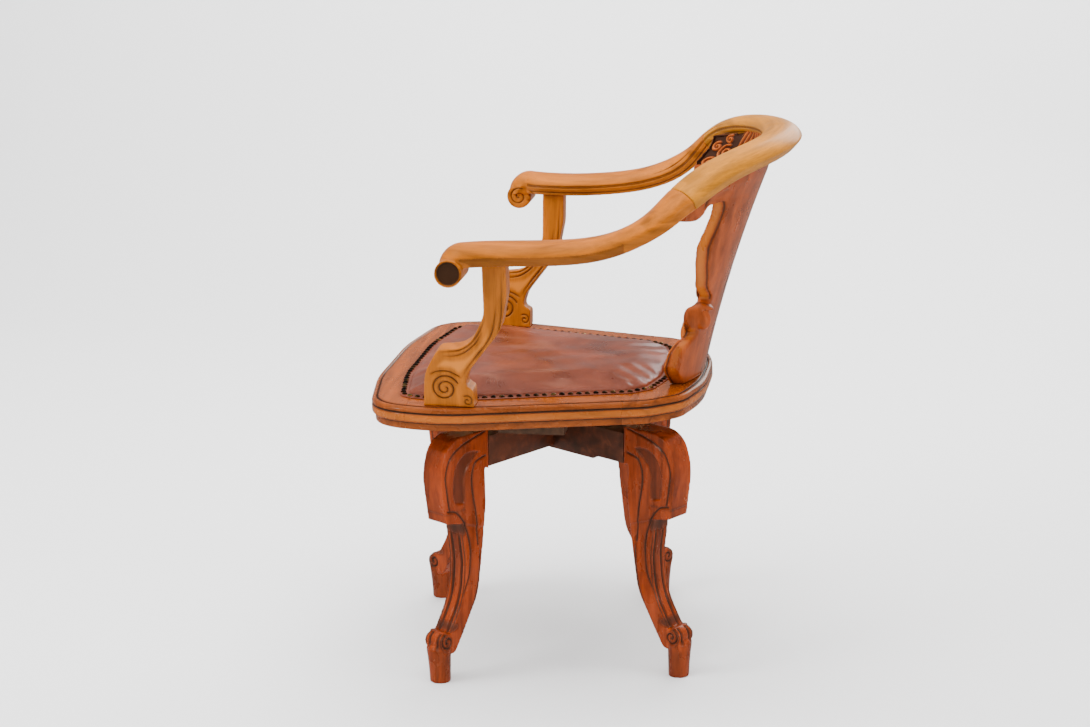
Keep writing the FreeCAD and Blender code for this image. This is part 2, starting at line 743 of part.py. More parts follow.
def rail_stretch(path, start, stop, count):
    """A length of the rail, lofted through evenly spaced sections."""
    sections = []
    for index in range(count + 1):
        distance = (start + (stop - start) * index / count) * path.Length
        parameter = path.getParameterByLength(distance)
        ahead = path.tangentAt(parameter)
        if distance < 1e-6 or distance > path.Length - 1e-6:
            ahead = FreeCAD.Vector(0, 1 if distance < 1 else -1, 0)
        crest = math.sin(math.pi * distance / path.Length) ** 6
        belly = size("arm_belly") + (size("crest_belly") - size("arm_belly")) * crest
        sections.append(rail_section(path.valueAt(parameter), ahead, belly))
    return Part.makeLoft(sections, True, False)


def scroll_end(side):
    """The arm's end: the rail rolled over forwards onto a round scroll."""
    bend = -size("scroll_bend")
    low = arm_level
    middle = FreeCAD.Vector(side * ARM_END * arm_spread, bend, low)
    section = Part.Face(rail_section(middle, FreeCAD.Vector(0, 1, 0), size("arm_belly")))
    hub = FreeCAD.Vector(0, bend, low - size("bend_radius"))
    roll = section.revolve(hub, FreeCAD.Vector(1, 0, 0), 90)
    start = FreeCAD.Vector(side * arm_spread - size("scroll_wide") / 2,
                           -size("scroll_reach"), low - size("scroll_drop"))
    drum = Part.makeCylinder(size("scroll_radius"), size("scroll_wide"), start, FreeCAD.Vector(1, 0, 0))
    return roll.fuse(drum)


def make_rail(fittings):
    """Two arms and the crest between them, butt-jointed with dowels."""
    path = horseshoe()
    seam = (1 - size("crest_share")) / 2
    dowel_offset = 0.23 * size("rail_wide")
    places = []
    for share in (seam, 1 - seam):
        parameter = path.getParameterByLength(share * path.Length)
        ahead = path.tangentAt(parameter)
        side = ahead.cross(FreeCAD.Vector(0, 0, 1)).normalize()
        for offset in (-dowel_offset, dowel_offset):
            places.append((path.valueAt(parameter) + side * offset, ahead))
    dowels = rods("crest_dowels", places, size("slim_dowel_radius"), size("dowel_long"))
    tools = joined("rail_fittings", [dowels] + fittings)
    right = rail_stretch(path, 0, seam, 9).fuse(scroll_end(-1)).removeSplitter()
    left = rail_stretch(path, 1, 1 - seam, 9).fuse(scroll_end(1)).removeSplitter()
    crest = rail_stretch(path, seam, 1 - seam, 12)
    arms = {-1: feature("arm_right_blank", right), 1: feature("arm_left_blank", left)}
    cut("arm_right", arms[-1], tools)
    cut("arm_left", arms[1], tools)
    crest_blank = feature("crest_blank", crest)
    cut("crest_rail", crest_blank, tools)
    return crest_blank, arms


def support_corners():
    """The support's side view: y forward and back of the swivel axis, height over the seat."""
    tall = arm_underside - frame_top

    def corner(y, share, radius):
        return (y, frame_top + share * tall, radius)

    return [
        corner(-146, -0.05, 0),
        corner(-72, -0.05, 0),
        corner(-72, 0.13, 7),
        corner(-84, 0.16, 8),
        corner(-78, 0.26, 40),
        corner(-29, 0.56, 60),
        corner(-19, 0.80, 80),
        corner(-19, 1.05, 0),
        corner(-53, 1.05, 0),
        corner(-53, 0.66, 45),
        corner(-76, 0.43, 45),
        corner(-122, 0.41, 14),
        corner(-142, 0.24, 60),
    ]


def support_dowel_rods():
    """Dowels between the seat, the arm supports and the arms."""
    places = []
    for side in (-1, 1):
        for y in (-128, -92):
            places.append(((side * support_base, y, frame_top), (0, 0, 1)))
        for y in (-45, -27):
            places.append(((side * support_top, y, arm_underside), (0, 0, 1)))
    return rods("support_dowels", places, size("slim_dowel_radius"), size("slim_dowel_long"))


def make_supports(dowels, arms):
    """Arm supports: shaped planks that lean outwards, cut to the seat and to the arms above."""
    for side, name in ((1, "arm_support_left"), (-1, "arm_support_right")):
        plank = doc.addObject("PartDesign::Body", name + "_plank")
        outline = sketch(plank, "YZ_Plane", name + "_outline", [rounded_loop(support_corners())])
        pad(plank, outline, name + "_pad", "sizes.support_thick", midplane=True)
        rotation = FreeCAD.Rotation(FreeCAD.Vector(0, 1, 0), side * size("support_lean"))
        pivot = FreeCAD.Vector(0, 0, frame_top)
        shift = FreeCAD.Vector(side * support_base, size("axis_offset"), 0)
        plank.Placement = FreeCAD.Placement(shift, rotation, pivot)
        slab = box(name + "_slab", "2 * sizes.seat_wide", "2 * sizes.seat_front",
                   "%g" % (arm_underside - frame_top + size("rail_band") / 3), "%g" % frame_top)
        trimmed = doc.addObject("Part::Common", name + "_blank")
        trimmed.Base = plank
        trimmed.Tool = slab
        cut(name, trimmed, dowels, arms[side])


# ---------------------------------------------------------------- back splat

def splat_shell():
    """A thick board bent to a cone: tight at the seat, wider under the crest."""
    spread = math.radians(52)       # wide enough for the whole splat on each side
    wires = []
    middle_level = (frame_top + crest_level) / 2
    middle_rear = (splat_foot + size("crest_reach")) / 2 - size("splat_hollow")
    middle_radius = (size("splat_foot_radius") + size("splat_head_radius")) / 2
    for z, rear, radius in (
        (frame_top, splat_foot, size("splat_foot_radius")),
        (middle_level, middle_rear, middle_radius),
        (crest_level, size("crest_reach"), size("splat_head_radius")),
    ):
        middle = FreeCAD.Vector(0, rear - radius, z)
        ring = []
        for reach in (radius, radius - size("splat_thick")):
            ring.append([middle + FreeCAD.Vector(reach * math.sin(a), reach * math.cos(a), 0)
                         for a in (-spread, 0, spread)])
        outer, inner = ring
        wires.append(Part.Wire([
            Part.Arc(*outer).toShape(),
            Part.makeLine(outer[2], inner[2]),
            Part.Arc(inner[2], inner[1], inner[0]).toShape(),
            Part.makeLine(inner[0], outer[0]),
        ]))
    return Part.makeLoft(wires, True, False)


def splat_corners():
    """The splat's front view: foot lobes, waist with side scrolls, lyre body, eared head."""
    tall = crest_level - frame_top

    def corner(x, share, radius):
        return (x, frame_top + share * tall, radius)

    half = [
        corner(84, -0.01, 4),
        corner(110, 0.07, 26),
        corner(110, 0.175, 24),
        corner(84, 0.215, 8),
        corner(95, 0.25, 12),
        corner(95, 0.335, 12),
        corner(68, 0.35, 12),
        corner(98, 0.42, 30),
        corner(112, 0.52, 60),
        corner(122, 0.66, 60),
        corner(122, 0.755, 10),
        corner(136, 0.80, 8),
        corner(141, 0.715, 12),
        corner(172, 0.735, 16),
        corner(180, 0.895, 0),
        corner(100, 0.955, 0),
    ]
    return mirrored(half)


def make_splat():
    """The splat's uncut board, and its dowels below and above."""
    outline = Part.Face(loop_wire(splat_corners()))
    outline.rotate(FreeCAD.Vector(0, 0, 0), FreeCAD.Vector(1, 0, 0), 90)
    outline.translate(FreeCAD.Vector(0, size("crest_reach") + PAST, 0))
    cutter = outline.extrude(FreeCAD.Vector(0, -size("crest_reach"), 0))
    blank = feature("splat_blank", splat_shell().common(cutter))

    def board_middle(x, rear, radius):
        mid_radius = radius - size("splat_thick") / 2
        return rear - radius + math.sqrt(mid_radius ** 2 - x ** 2)

    foot = []
    head = []
    head_level = crest_level - rail_tall / 2
    lean_in = 2.0                   # the board leans back over the dowel's length
    for x in (-62, 0, 62):
        y = board_middle(x, splat_foot + lean_in, size("splat_foot_radius"))
        foot.append(((x, y, frame_top), (0, 0, 1)))
        y = board_middle(x, size("crest_reach") - 2 * lean_in, size("splat_head_radius"))
        head.append(((x, y, head_level - lean_in), (0, 0, 1)))
    foot_dowels = rods("splat_foot_dowels", foot, size("slim_dowel_radius"), size("slim_dowel_long"))
    head_dowels = rods("splat_head_dowels", head, size("slim_dowel_radius"), size("head_dowel_long"))
    return blank, foot_dowels, head_dowels


# ---------------------------------------------------------------- whole chair

PIECES = [
    "leg_front_left", "leg_front_right", "leg_rear_left", "leg_rear_right", "leg_dowels",
    "cross_rail_lower", "cross_rail_upper", "lower_swivel_plate", "lower_plate_screws", "pivot_bush",
    "thrust_washer", "upper_swivel_plate", "upper_plate_screws", "spindle", "retaining_washer",
    "retaining_nut", "seat_board", "seat_board_screws", "seat_rail_front", "seat_rail_rear",
    "seat_rail_left", "seat_rail_right", "seat_frame_dowels", "webbing_front_to_back",
    "webbing_side_to_side", "seat_stuffing", "seat_leather", "seat_nails", "arm_support_left",
    "arm_support_right", "support_dowels", "arm_left", "arm_right", "crest_rail", "crest_dowels",
    "back_splat", "splat_foot_dowels", "splat_head_dowels",
]


def export_pieces():
    """Checks every object and writes each piece to its own file."""
    doc.recompute()
    for obj in doc.Objects:
        if "Invalid" in obj.State or "Error" in obj.State:
            raise RuntimeError(obj.Name + " failed: " + ", ".join(obj.State))
    os.makedirs("parts", exist_ok=True)
    whole = FreeCAD.BoundBox()
    for label in PIECES:
        shape = doc.getObjectsByLabel(label)[0].Shape
        if shape.isNull() or not shape.isValid() or not shape.Solids:
            raise RuntimeError(label + " has no valid shape")
        whole.add(shape.BoundBox)
        shape.exportStep("parts/" + label + ".step")
        print("%-24s solids %3d  volume %.0f" % (label, len(shape.Solids), shape.Volume))
    print("box x %.1f..%.1f  y %.1f..%.1f  z %.1f..%.1f" % (
        whole.XMin, whole.XMax, whole.YMin, whole.YMax, whole.ZMin, whole.ZMax))


make_base()
seat_board_screws = make_spindle()
support_dowels = support_dowel_rods()
splat_blank, splat_foot_dowels, splat_head_dowels = make_splat()
crest_blank, arm_blanks = make_rail([support_dowels, splat_head_dowels])
make_supports(support_dowels, arm_blanks)
cut("back_splat", splat_blank, crest_blank, splat_foot_dowels, splat_head_dowels)
make_seat(seat_board_screws, [support_dowels, splat_foot_dowels])
export_pieces()
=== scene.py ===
import json
import random
from math import atan2, cos, pi, radians, sin, tan, tau

import bmesh
import bpy
import numpy as np
from mathutils import Matrix, Vector
from mathutils.kdtree import KDTree


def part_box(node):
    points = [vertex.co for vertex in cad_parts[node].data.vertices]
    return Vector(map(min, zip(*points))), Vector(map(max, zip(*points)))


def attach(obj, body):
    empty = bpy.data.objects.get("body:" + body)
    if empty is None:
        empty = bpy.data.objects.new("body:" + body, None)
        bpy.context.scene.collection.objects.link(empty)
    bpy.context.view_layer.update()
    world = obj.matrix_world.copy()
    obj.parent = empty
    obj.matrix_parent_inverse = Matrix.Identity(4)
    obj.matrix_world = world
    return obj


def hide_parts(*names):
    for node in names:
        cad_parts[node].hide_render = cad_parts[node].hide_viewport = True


bl_info = {
    "name": "Revolving desk armchair",
    "version": (1, 0, 0),
    "blender": (4, 5, 0),
    "location": "3D View > Sidebar > Chair",
    "description": "Carved wood, leather and iron finishes for a revolving desk armchair",
    "category": "Object",
}

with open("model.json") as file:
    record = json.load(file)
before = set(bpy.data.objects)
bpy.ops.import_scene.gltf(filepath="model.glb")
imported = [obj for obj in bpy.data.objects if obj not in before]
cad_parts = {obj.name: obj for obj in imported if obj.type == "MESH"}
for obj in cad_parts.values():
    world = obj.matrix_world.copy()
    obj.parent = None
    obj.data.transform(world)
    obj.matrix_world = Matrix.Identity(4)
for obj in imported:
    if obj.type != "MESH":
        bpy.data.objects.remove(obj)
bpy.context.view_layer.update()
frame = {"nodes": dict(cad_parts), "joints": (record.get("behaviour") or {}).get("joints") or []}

MM = 0.001
AXIS = Vector(frame["joints"][0]["pos_m"])          # a point on the swivel's upright axis
SEAT_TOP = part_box("seat_rail_left")[1].z            # top of the seat's wooden frame


# ---------------------------------------------------------------- small tools

def linear(code):
    """An sRGB hex colour as linear RGBA."""
    levels = [int(code[start:start + 2], 16) / 255 for start in (0, 2, 4)]
    return (*(v / 12.92 if v <= 0.04045 else ((v + 0.055) / 1.055) ** 2.4 for v in levels), 1.0)


def grey(level):
    return (level, level, level, 1)


def shades(colour, dark, light):
    """A colour's dark, middle and light tones."""
    return [tuple(min(1.0, channel * factor) for channel in colour[:3]) + (1.0,)
            for factor in (dark, 1, light)]


def unit(values):
    """Values kept between 0 and 1."""
    return np.clip(values, 0, 1)


def hump(values, power=1):
    """A rounded hump: 1 at 0, and 0 from 1 and -1 outwards."""
    return unit(1 - values ** 2) ** power


def limited(moves, most):
    """Moves of which none is longer than most."""
    return moves * np.minimum(1, most / np.maximum(np.linalg.norm(moves, axis=1), 1e-9))[:, None]


def spot(x, y, z, base=0.0):
    """A place in metres, from millimetres about the swivel's axis."""
    return (x * MM, y * MM + AXIS.y, z * MM + base)


def new_object(name, data):
    """An object in the scene."""
    piece = bpy.data.objects.new(name, data)
    bpy.context.scene.collection.objects.link(piece)
    return piece


def new_piece(name, shape, outward=True):
    """An object made from a bmesh, which is freed; its faces are turned outwards first."""
    if outward:
        bmesh.ops.recalc_face_normals(shape, faces=shape.faces)
    mesh = bpy.data.meshes.new(name)
    shape.to_mesh(mesh)
    shape.free()
    return new_object(name, mesh)


def merged(node):
    """A CAD node's shape, its loose triangles merged."""
    shape = bmesh.new()
    shape.from_mesh(frame["nodes"][node].data)
    bmesh.ops.remove_doubles(shape, verts=shape.verts, dist=1e-6)
    return shape


def stretch(shape, swept, way):
    """Moves the points that an extrusion made."""
    moved = [item for item in swept["geom"] if isinstance(item, bmesh.types.BMVert)]
    bmesh.ops.translate(shape, verts=moved, vec=way)


def skin(shape, rings, closed=False):
    """Faces between rings that have as many points each; open ends get a cap."""
    for first, second in zip(rings, rings[1:] + rings[:closed]):
        for i in range(len(first)):
            shape.faces.new((first[i - 1], first[i], second[i], second[i - 1]))
    if not closed:
        shape.faces.new(rings[0])
        shape.faces.new(rings[-1])


def bake(piece):
    """Makes a piece's modifiers part of its mesh."""
    graph = bpy.context.evaluated_depsgraph_get()
    baked = bpy.data.meshes.new_from_object(piece.evaluated_get(graph))
    old = piece.data
    piece.modifiers.clear()
    piece.data = baked
    bpy.data.meshes.remove(old)


def modify(piece, kind, **settings):
    """Works one modifier into a piece's mesh."""
    step = piece.modifiers.new(kind.lower(), kind)
    for name, value in settings.items():
        setattr(step, name, value)
    bake(piece)


def remesh(piece, voxel):
    """Evens a closed piece out into small quads, so that carving has points to move."""
    modify(piece, "REMESH", mode="VOXEL", voxel_size=voxel * MM)


def smooth(piece, times):
    """Takes the grid's ripple out of a remeshed piece."""
    modify(piece, "SMOOTH", factor=0.5, iterations=times)


def ease(piece, times, most):
    """Smooths more, but moves no point further than most: facets go and arrises stay."""
    before = points_of(piece)
    smooth(piece, times)
    put_points(piece, before + limited(points_of(piece) - before, most))


def eased_copy(name, node, width):
    """A CAD node's shape with its flat faces made whole and its sharp edges eased."""
    shape = merged(node)
    bmesh.ops.dissolve_limit(shape, angle_limit=radians(1), verts=shape.verts, edges=shape.edges)
    piece = new_piece(name, shape, False)
    modify(piece, "BEVEL", width=width * MM, segments=2, limit_method="ANGLE", angle_limit=radians(35))
    return piece


def carving_blank(name, node, times, most, voxel=0):
    """A CAD node's shape made dense and even, ready to be carved."""
    piece = new_piece(name, merged(node), False)
    remesh(piece, voxel or cuts().grid)
    smooth(piece, 2)
    ease(piece, times, most)
    return piece


def read(items, name):
    """A row of three numbers from each item."""
    found = np.empty(len(items) * 3)
    items.foreach_get(name, found)
    return found.reshape(-1, 3)


def points_of(piece):
    """A piece's points in millimetres."""
    return read(piece.data.vertices, "co") / MM


def put_points(piece, points):
    """Moves a piece's points; they are in millimetres."""
    piece.data.vertices.foreach_set("co", (points * MM).ravel())
    piece.data.update()


def store(piece, name, values):
    """Keeps a number or a vector at each point, for the materials to read."""
    kind, field = ("FLOAT", "value") if values.ndim == 1 else ("FLOAT_VECTOR", "vector")
    layer = piece.data.attributes.new(name, kind, "POINT")
    layer.data.foreach_set(field, values.astype(np.float32).ravel())


def straight_grain(piece, along, across):
    """Grain that runs straight along a direction."""
    points = points_of(piece)
    store(piece, "grain", points @ np.array([along, across, np.cross(along, across)], float).T * MM)
    if "wax" not in piece.data.attributes:
        store(piece, "wax", np.zeros(len(points)))


def finish_piece(piece, body, slot, material, *nodes, crisp=0):
    """Shades a piece, crisp at edges sharper than some degrees, ties it to its body and hides its CAD nodes.
    """
    mesh = piece.data
    mesh.polygons.foreach_set("use_smooth", [True] * len(mesh.polygons))
    if crisp:
        mesh.set_sharp_from_angle(angle=radians(crisp))
    mesh.materials.clear()
    mesh.materials.append(material)
    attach(piece, body)
    if nodes:
        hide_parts(*nodes)


def finish_pair(left, node, *finish):
    """Finishes a left-hand piece and its mirror image."""
    mesh = left.data.copy()
    mesh.transform(Matrix.Scale(-1, 4, (1, 0, 0)))
    mesh.flip_normals()
    other = node.replace("left", "right")
    finish_piece(left, *finish, node)
    finish_piece(new_object(left.name.replace(node, other), mesh), *finish, other)


# ---------------------------------------------------------------- carving

def smooth_line(corners, closed=False):
    """A curve through the corners, as a close row of points."""
    corners = np.array(corners, float)
    if closed:
        corners = np.vstack([corners[-1], corners, corners[:2]])
    else:
        corners = np.vstack([2 * corners[0] - corners[1], corners, 2 * corners[-1] - corners[-2]])
    found = [0.5 * (2 * b + (c - a) * t + (2 * a - 5 * b + 4 * c - d) * t ** 2
                    + (3 * b - a - 3 * c + d) * t ** 3)
             for a, b, c, d in zip(corners, corners[1:], corners[2:], corners[3:]) for t in np.arange(8) / 8]
    return np.array(found if closed else found + [corners[-2]])


def spiral(middle, outer, inner, turns, start, hand=1, count=0):
    """A spiral line from its outer end to its eye; start is in degrees, hand 1 is anticlockwise."""
    share = np.linspace(0, 1, count or int(28 * turns) + 2)
    angle = radians(start) + hand * share * turns * tau
    radius = outer + (inner - outer) * share
    return np.stack([middle[0] + radius * np.cos(angle), middle[1] + radius * np.sin(angle)], 1)


def gap_to(points, line):
    """Distance from each flat point to a line, how far along the nearest point is, and the line's length."""
    best = np.full(len(points), np.inf)
    where = np.zeros(len(points))
    travelled = 0.0
    for start, end in zip(line[:-1], line[1:]):
        along = end - start
        long = np.linalg.norm(along)
        if long == 0:
            continue
        share = unit(((points - start) @ along) / long ** 2)
        gap = np.linalg.norm(points - start - share[:, None] * along, axis=1)
        nearer = gap < best
        best[nearer] = gap[nearer]
        where[nearer] = travelled + share[nearer] * long
        travelled += long
    return best, where, travelled


def inside(points, loop):
    """Which flat points lie in a closed loop."""
    found = np.zeros(len(points), bool)
    before = loop[-1]
    for after in loop:
        crosses = (after[1] > points[:, 1]) != (before[1] > points[:, 1])
        rise = before[1] - after[1]
        if rise != 0:
            reach = (before[0] - after[0]) * (points[:, 1] - after[1]) / rise + after[0]
            found ^= crosses & (points[:, 0] < reach)
        before = after
    return found


class Carving:
    """A dense piece in the carver's own axes: the first two lie in the face, the third stands out of it."""

    def __init__(self, piece, origin=(0, AXIS.y / MM, 0), axes=np.eye(3)):
        self.piece = piece
        self.origin = np.array(origin, float)
        self.axes = np.array(axes, float)
        self.at = (points_of(piece) - self.origin) @ self.axes.T
        self.facing = read(piece.data.vertex_normals, "vector") @ self.axes.T
        self.depth = np.zeros(len(self.at))
        # dark wax and painted shade above 0, painted highlight below 0
        self.wax_shade_highlight = np.zeros(len(self.at))
        self.flat = self.at[:, :2]

    def cut(self, depth, wax_shade_highlight, near=slice(None)):
        """Cuts points at least so deep and darkens them at least so much."""
        self.depth[near] = np.maximum(self.depth[near], depth)
        self.wax_shade_highlight[near] = np.maximum(self.wax_shade_highlight[near], wax_shade_highlight)

    def close_to(self, line, margin, mask):
        """The masked points in a line's box, widened by a margin."""
        low, high = line.min(0) - margin, line.max(0) + margin
        return np.flatnonzero(mask & (self.flat > low).all(1) & (self.flat < high).all(1))

    def groove(self, line, half, deep, mask, taper=0.0, wax_shade_highlight=1.0):
        """Cuts a round-bottomed groove along a flat line; taper fades its ends out."""
        near = self.close_to(line, 3 * half, mask)
        gap, where, total = gap_to(self.flat[near], line)
        shape = hump(gap / half, 1.5)
        # a soft halo of painted shade round the groove; the groove itself gets dark wax and painted shade
        shade_halo = unit(1 - gap / (2.6 * half)) ** 1.5 * 0.5
        if taper > 0:
            fade = unit(np.minimum(where, total - where) / taper)
            shape *= fade
            shade_halo *= fade
        self.cut(shape * deep, np.maximum(shape ** 0.6, shade_halo) * wax_shade_highlight, near)

    def field(self, loop, wall, mask):
        """The points near a loop, and a share for each: 0 outside, 1 from a wall's width inwards."""
        near = self.close_to(loop, 0, mask)
        gap = gap_to(self.flat[near], np.vstack([loop, loop[:1]]))[0]
        return near, np.where(inside(self.flat[near], loop), unit(gap / wall), 0)

    def done(self, grain):
        """Moves the points and keeps the grain's directions, and the dark wax and painted shade in the
        hollows with the painted highlights.
        """
        self.at -= self.facing * self.depth[:, None]
        put_points(self.piece, self.at @ self.axes + self.origin)
        store(self.piece, "grain", grain(self.at) * MM)
        store(self.piece, "wax", self.wax_shade_highlight)


# ---------------------------------------------------------------- materials

# dark wax in the carving, and painted shade in grooves, creases and recesses
WAX_AND_SHADE = linear("2a140c")
GOLDEN_HIGHLIGHT = linear("c47220")          # the wood's palest colour: painted highlight on the splat's edges and lobes, the frame's fascia and raised carving, and the supports' paler field


def settle(node, settings):
    """Sets a node's properties and sockets; a value that is another node's output is linked."""
    for name, value in settings.items():
        if name == "stops":
            line = node.color_ramp.elements
            while len(line) < len(value):
                line.new(0.5)
            for element, (place, colour) in zip(line, value):
                element.position = place
                element.color = colour
        elif isinstance(value, bpy.types.NodeSocket):
            node.id_data.links.new(value, node.inputs[name])
        elif hasattr(node, str(name)):
            setattr(node, name, value)
        else:
            node.inputs[name].default_value = value


def add(tree, kind, settings, output=0):
    """Adds a node with its settings and links, and gives one of its outputs."""
    node = tree.nodes.new("ShaderNode" + kind)
    settle(node, settings)
    return node.outputs[output]


def new_material(name):
    """A material with its node tree and its shader."""
    material = bpy.data.materials.new(name)
    material.use_nodes = True
    tree = material.node_tree
    tree.nodes.clear()
    shader = tree.nodes.new("ShaderNodeBsdfPrincipled")
    output = tree.nodes.new("ShaderNodeOutputMaterial")
    tree.links.new(shader.outputs[0], output.inputs[0])
    return material, tree, shader


def wood(name, tones, gloss, figure, polish=0.3, amber="ffead0"):
    """Polished wood: broad figure, fine open pores, dark wax and painted shade in the carving and creases,
    painted golden highlights, worn high spots, amber sheen.
    """
    dark, middle, light = tones
    material, tree, shader = new_material(name)
    grain = add(tree, "Attribute", {"attribute_name": "grain"}, "Vector")
    patterns = []
    for scale, look in (
        # growth figure, in bands about 14 mm wide and 120 mm long
        ((8, 70, 70), {"Detail": 3.0, "Roughness": 0.55, "Distortion": 0.6}),
        # pores, dark dashes about 1.8 mm wide and 22 mm long, drawn as coarse as they need to show
        ((45, 560, 560), {"Detail": 2.0, "Roughness": 0.6}),
        # lights and darks left by age and hand polish, about 45 mm across
        ((14, 26, 26), {"Detail": 4.0, "Roughness": 0.6}),
    ):
        place = add(tree, "Mapping", {"Vector": grain, "Scale": scale})
        patterns.append(add(tree, "TexNoise", {"Vector": place, "Scale": 1.0, **look}))
    broad, pores, cloud = patterns
    # the attribute holds dark wax and painted shade above 0, and painted highlight below 0
    wax_shade_highlight = add(tree, "Attribute", {"attribute_name": "wax"}, "Fac")
    pale = add(tree, "Math", {"operation": "MULTIPLY", "use_clamp": True, 0: wax_shade_highlight, 1: -1.0})
    # pointiness: painted shade in concave creases, and paler worn convex edges
    crease = add(tree, "NewGeometry", {}, "Pointiness")
    clouded, pored, crease_shade, worn = (
        add(tree, "ValToRGB", {0: source, "stops": ((start, grey(first)), (end, grey(last)))})
        for source, start, first, end, last in ((cloud, 0.35, 0, 0.7, figure), (pores, 0.5, 0, 0.72, 0.45),
                                                (crease, 0.44, 1, 0.495, 0), (crease, 0.52, 0, 0.6, 0.35)))
    shade_and_wax = add(tree, "Math", {"operation": "MAXIMUM", 0: wax_shade_highlight, 1: crease_shade})
    tone = add(tree, "ValToRGB", {0: broad, "stops": ((0.32, dark), (0.52, middle), (0.72, light))})
    # over the tone: random clouds, pores, painted highlight, worn edges, and dark wax with painted shade
    for share, over in ((clouded, light), (pored, dark), (pale, GOLDEN_HIGHLIGHT), (worn, light), (shade_and_wax, WAX_AND_SHADE)):
        tone = add(tree, "Mix", {"data_type": "RGBA", 0: share, 6: tone, 7: over}, 2)
    rough = add(tree, "MapRange", {"Value": cloud, "From Min": 0.3, "From Max": 0.7, "To Min": gloss - 0.06,
                                   "To Max": gloss + 0.12})
    dull = add(tree, "Math", {"operation": "MULTIPLY", 0: wax_shade_highlight, 1: 0.62})
    settle(shader, {
        "Base Color": tone, "Roughness": add(tree, "Math", {"operation": "MAXIMUM", 0: rough, 1: dull}),
        "Specular Tint": linear(amber), "Coat Weight": polish, "Coat Tint": linear("fff0d2"),
        "Coat Roughness": 0.12,
        "Normal": add(tree, "Bump", {"Strength": 0.1, "Distance": 0.0004, "Height": pores})})
    return material


def metal(name, code, rough):
    """A metal with the slight blotch and scratch of handled parts, in spots about 6 mm across."""
    material, tree, shader = new_material(name)
    place = add(tree, "TexCoord", {}, "Object")
    blotch = add(tree, "TexNoise", {"Vector": place, "Scale": 160.0, "Detail": 4.0, "Roughness": 0.7})
    dull, bright, _ = shades(linear(code), 0.7, 1)
    settle(shader, {
        "Base Color": add(tree, "ValToRGB", {0: blotch, "stops": ((0.35, dull), (0.65, bright))}),
        "Metallic": 1.0,
        "Roughness": add(tree, "MapRange", {"Value": blotch, "To Min": rough - 0.08,
                                            "To Max": rough + 0.12}),
        "Normal": add(tree, "Bump", {"Strength": 0.2, "Distance": 0.0003, "Height": blotch})})
    return material


def turned_beech():
    """Pale turned beech of the dowels, on Object coordinates, because they keep their CAD shape."""
    material, tree, shader = new_material("turned beech")
    place = add(tree, "TexCoord", {}, "Object")
    fibre = add(tree, "TexNoise", {"Vector": place, "Scale": 300.0, "Detail": 3.0})
    stops = ((0.35, linear("ad8757")), (0.65, linear("cfae80")))
    settle(shader, {"Base Color": add(tree, "ValToRGB", {0: fibre, "stops": stops}), "Roughness": 0.6})
    return material


def leather():
    """Waxed oxblood hide: fine pebble grain, rubbed paler on the high rolls, glossy with wear."""
    material, tree, shader = new_material("waxed oxblood hide")
    place = add(tree, "TexCoord", {}, "Object")
    # pebbles about 1.6 mm across, drawn as coarse as they need to show
    pebble = add(tree, "TexVoronoi", {"Vector": place, "Scale": 620.0, "Randomness": 1.0}, "Distance")
    # broad darker and paler patches 60 to 120 mm across, and pale scuffs 30 mm long
    patch = add(tree, "TexNoise", {"Vector": place, "Scale": 9.0, "Detail": 5.0, "Roughness": 0.55,
                                   "Distortion": 0.5})
    scuff_at = add(tree, "Mapping", {"Vector": place, "Scale": (34, 14, 30)})
    scuff = add(tree, "TexNoise", {"Vector": scuff_at, "Scale": 1.0, "Detail": 4.0, "Roughness": 0.5})
    tones = shades(finish().leather, 0.6, 1.5)
    ground = add(tree, "ValToRGB", {0: patch, "stops": list(zip((0.36, 0.52, 0.66), tones))})
    pale = add(tree, "ValToRGB", {0: scuff, "stops": ((0.56, grey(0)), (0.8, grey(0.3)))})
    fine = add(tree, "Bump", {"Strength": 0.12, "Distance": 0.0004, "Height": pebble})
    settle(shader, {
        "Base Color": add(tree, "Mix", {"data_type": "RGBA", 0: pale, 6: ground, 7: linear("94604c")}, 2),
        "Roughness": add(tree, "MapRange", {"Value": patch, "From Min": 0.3, "From Max": 0.7, "To Min": 0.24,
                                            "To Max": 0.38}),
        "Coat Weight": 0.2, "Coat Roughness": 0.3,
        "Normal": add(tree, "Bump", {"Strength": 0.15, "Distance": 0.0008, "Height": scuff,
                                     "Normal": fine})})
    return material


def nail_brass():
    """Cast brass nails gone brown, bright where hands rub them."""
    material, tree, shader = new_material("antiqued brass")
    place = add(tree, "TexCoord", {}, "Object")
    age = add(tree, "TexNoise", {"Vector": place, "Scale": 55.0, "Detail": 2.0})
    stops = ((0.46, linear("2a1e15")), (0.58, linear("5c4527")), (0.7, linear("c9a860")))
    settle(shader, {
        "Base Color": add(tree, "ValToRGB", {0: age, "stops": stops}), "Metallic": 1.0,
        "Roughness": add(tree, "MapRange", {"Value": age, "From Min": 0.3, "From Max": 0.7, "To Min": 0.5,
                                            "To Max": 0.22})})
    return material


def hessian():
    """Plain woven jute: threads 2 mm apart both ways, matt and uneven."""
    material, tree, shader = new_material("woven jute")
    place = add(tree, "TexCoord", {}, "Object")
    along, across = (add(tree, "TexWave", {"wave_type": "BANDS", "bands_direction": way, "Vector": place,
                                           "Scale": 160.0, "Distortion": 1.5}, "Fac") for way in "XY")
    weave = add(tree, "Math", {"operation": "MAXIMUM", 0: along, 1: across})
    stops = ((0.2, linear("5e4a30")), (0.8, linear("ad9168")))
    settle(shader, {
        "Base Color": add(tree, "ValToRGB", {0: weave, "stops": stops}), "Roughness": 0.9,
        "Normal": add(tree, "Bump", {"Strength": 0.6, "Distance": 0.0006, "Height": weave})})
    return material


# ---------------------------------------------------------------- settings

def colour(name, description, code):
    """A colour that a user can change."""
    return bpy.props.FloatVectorProperty(name=name, description=description, subtype="COLOR", size=4,
                                         min=0, max=1,
                                         default=linear(code))


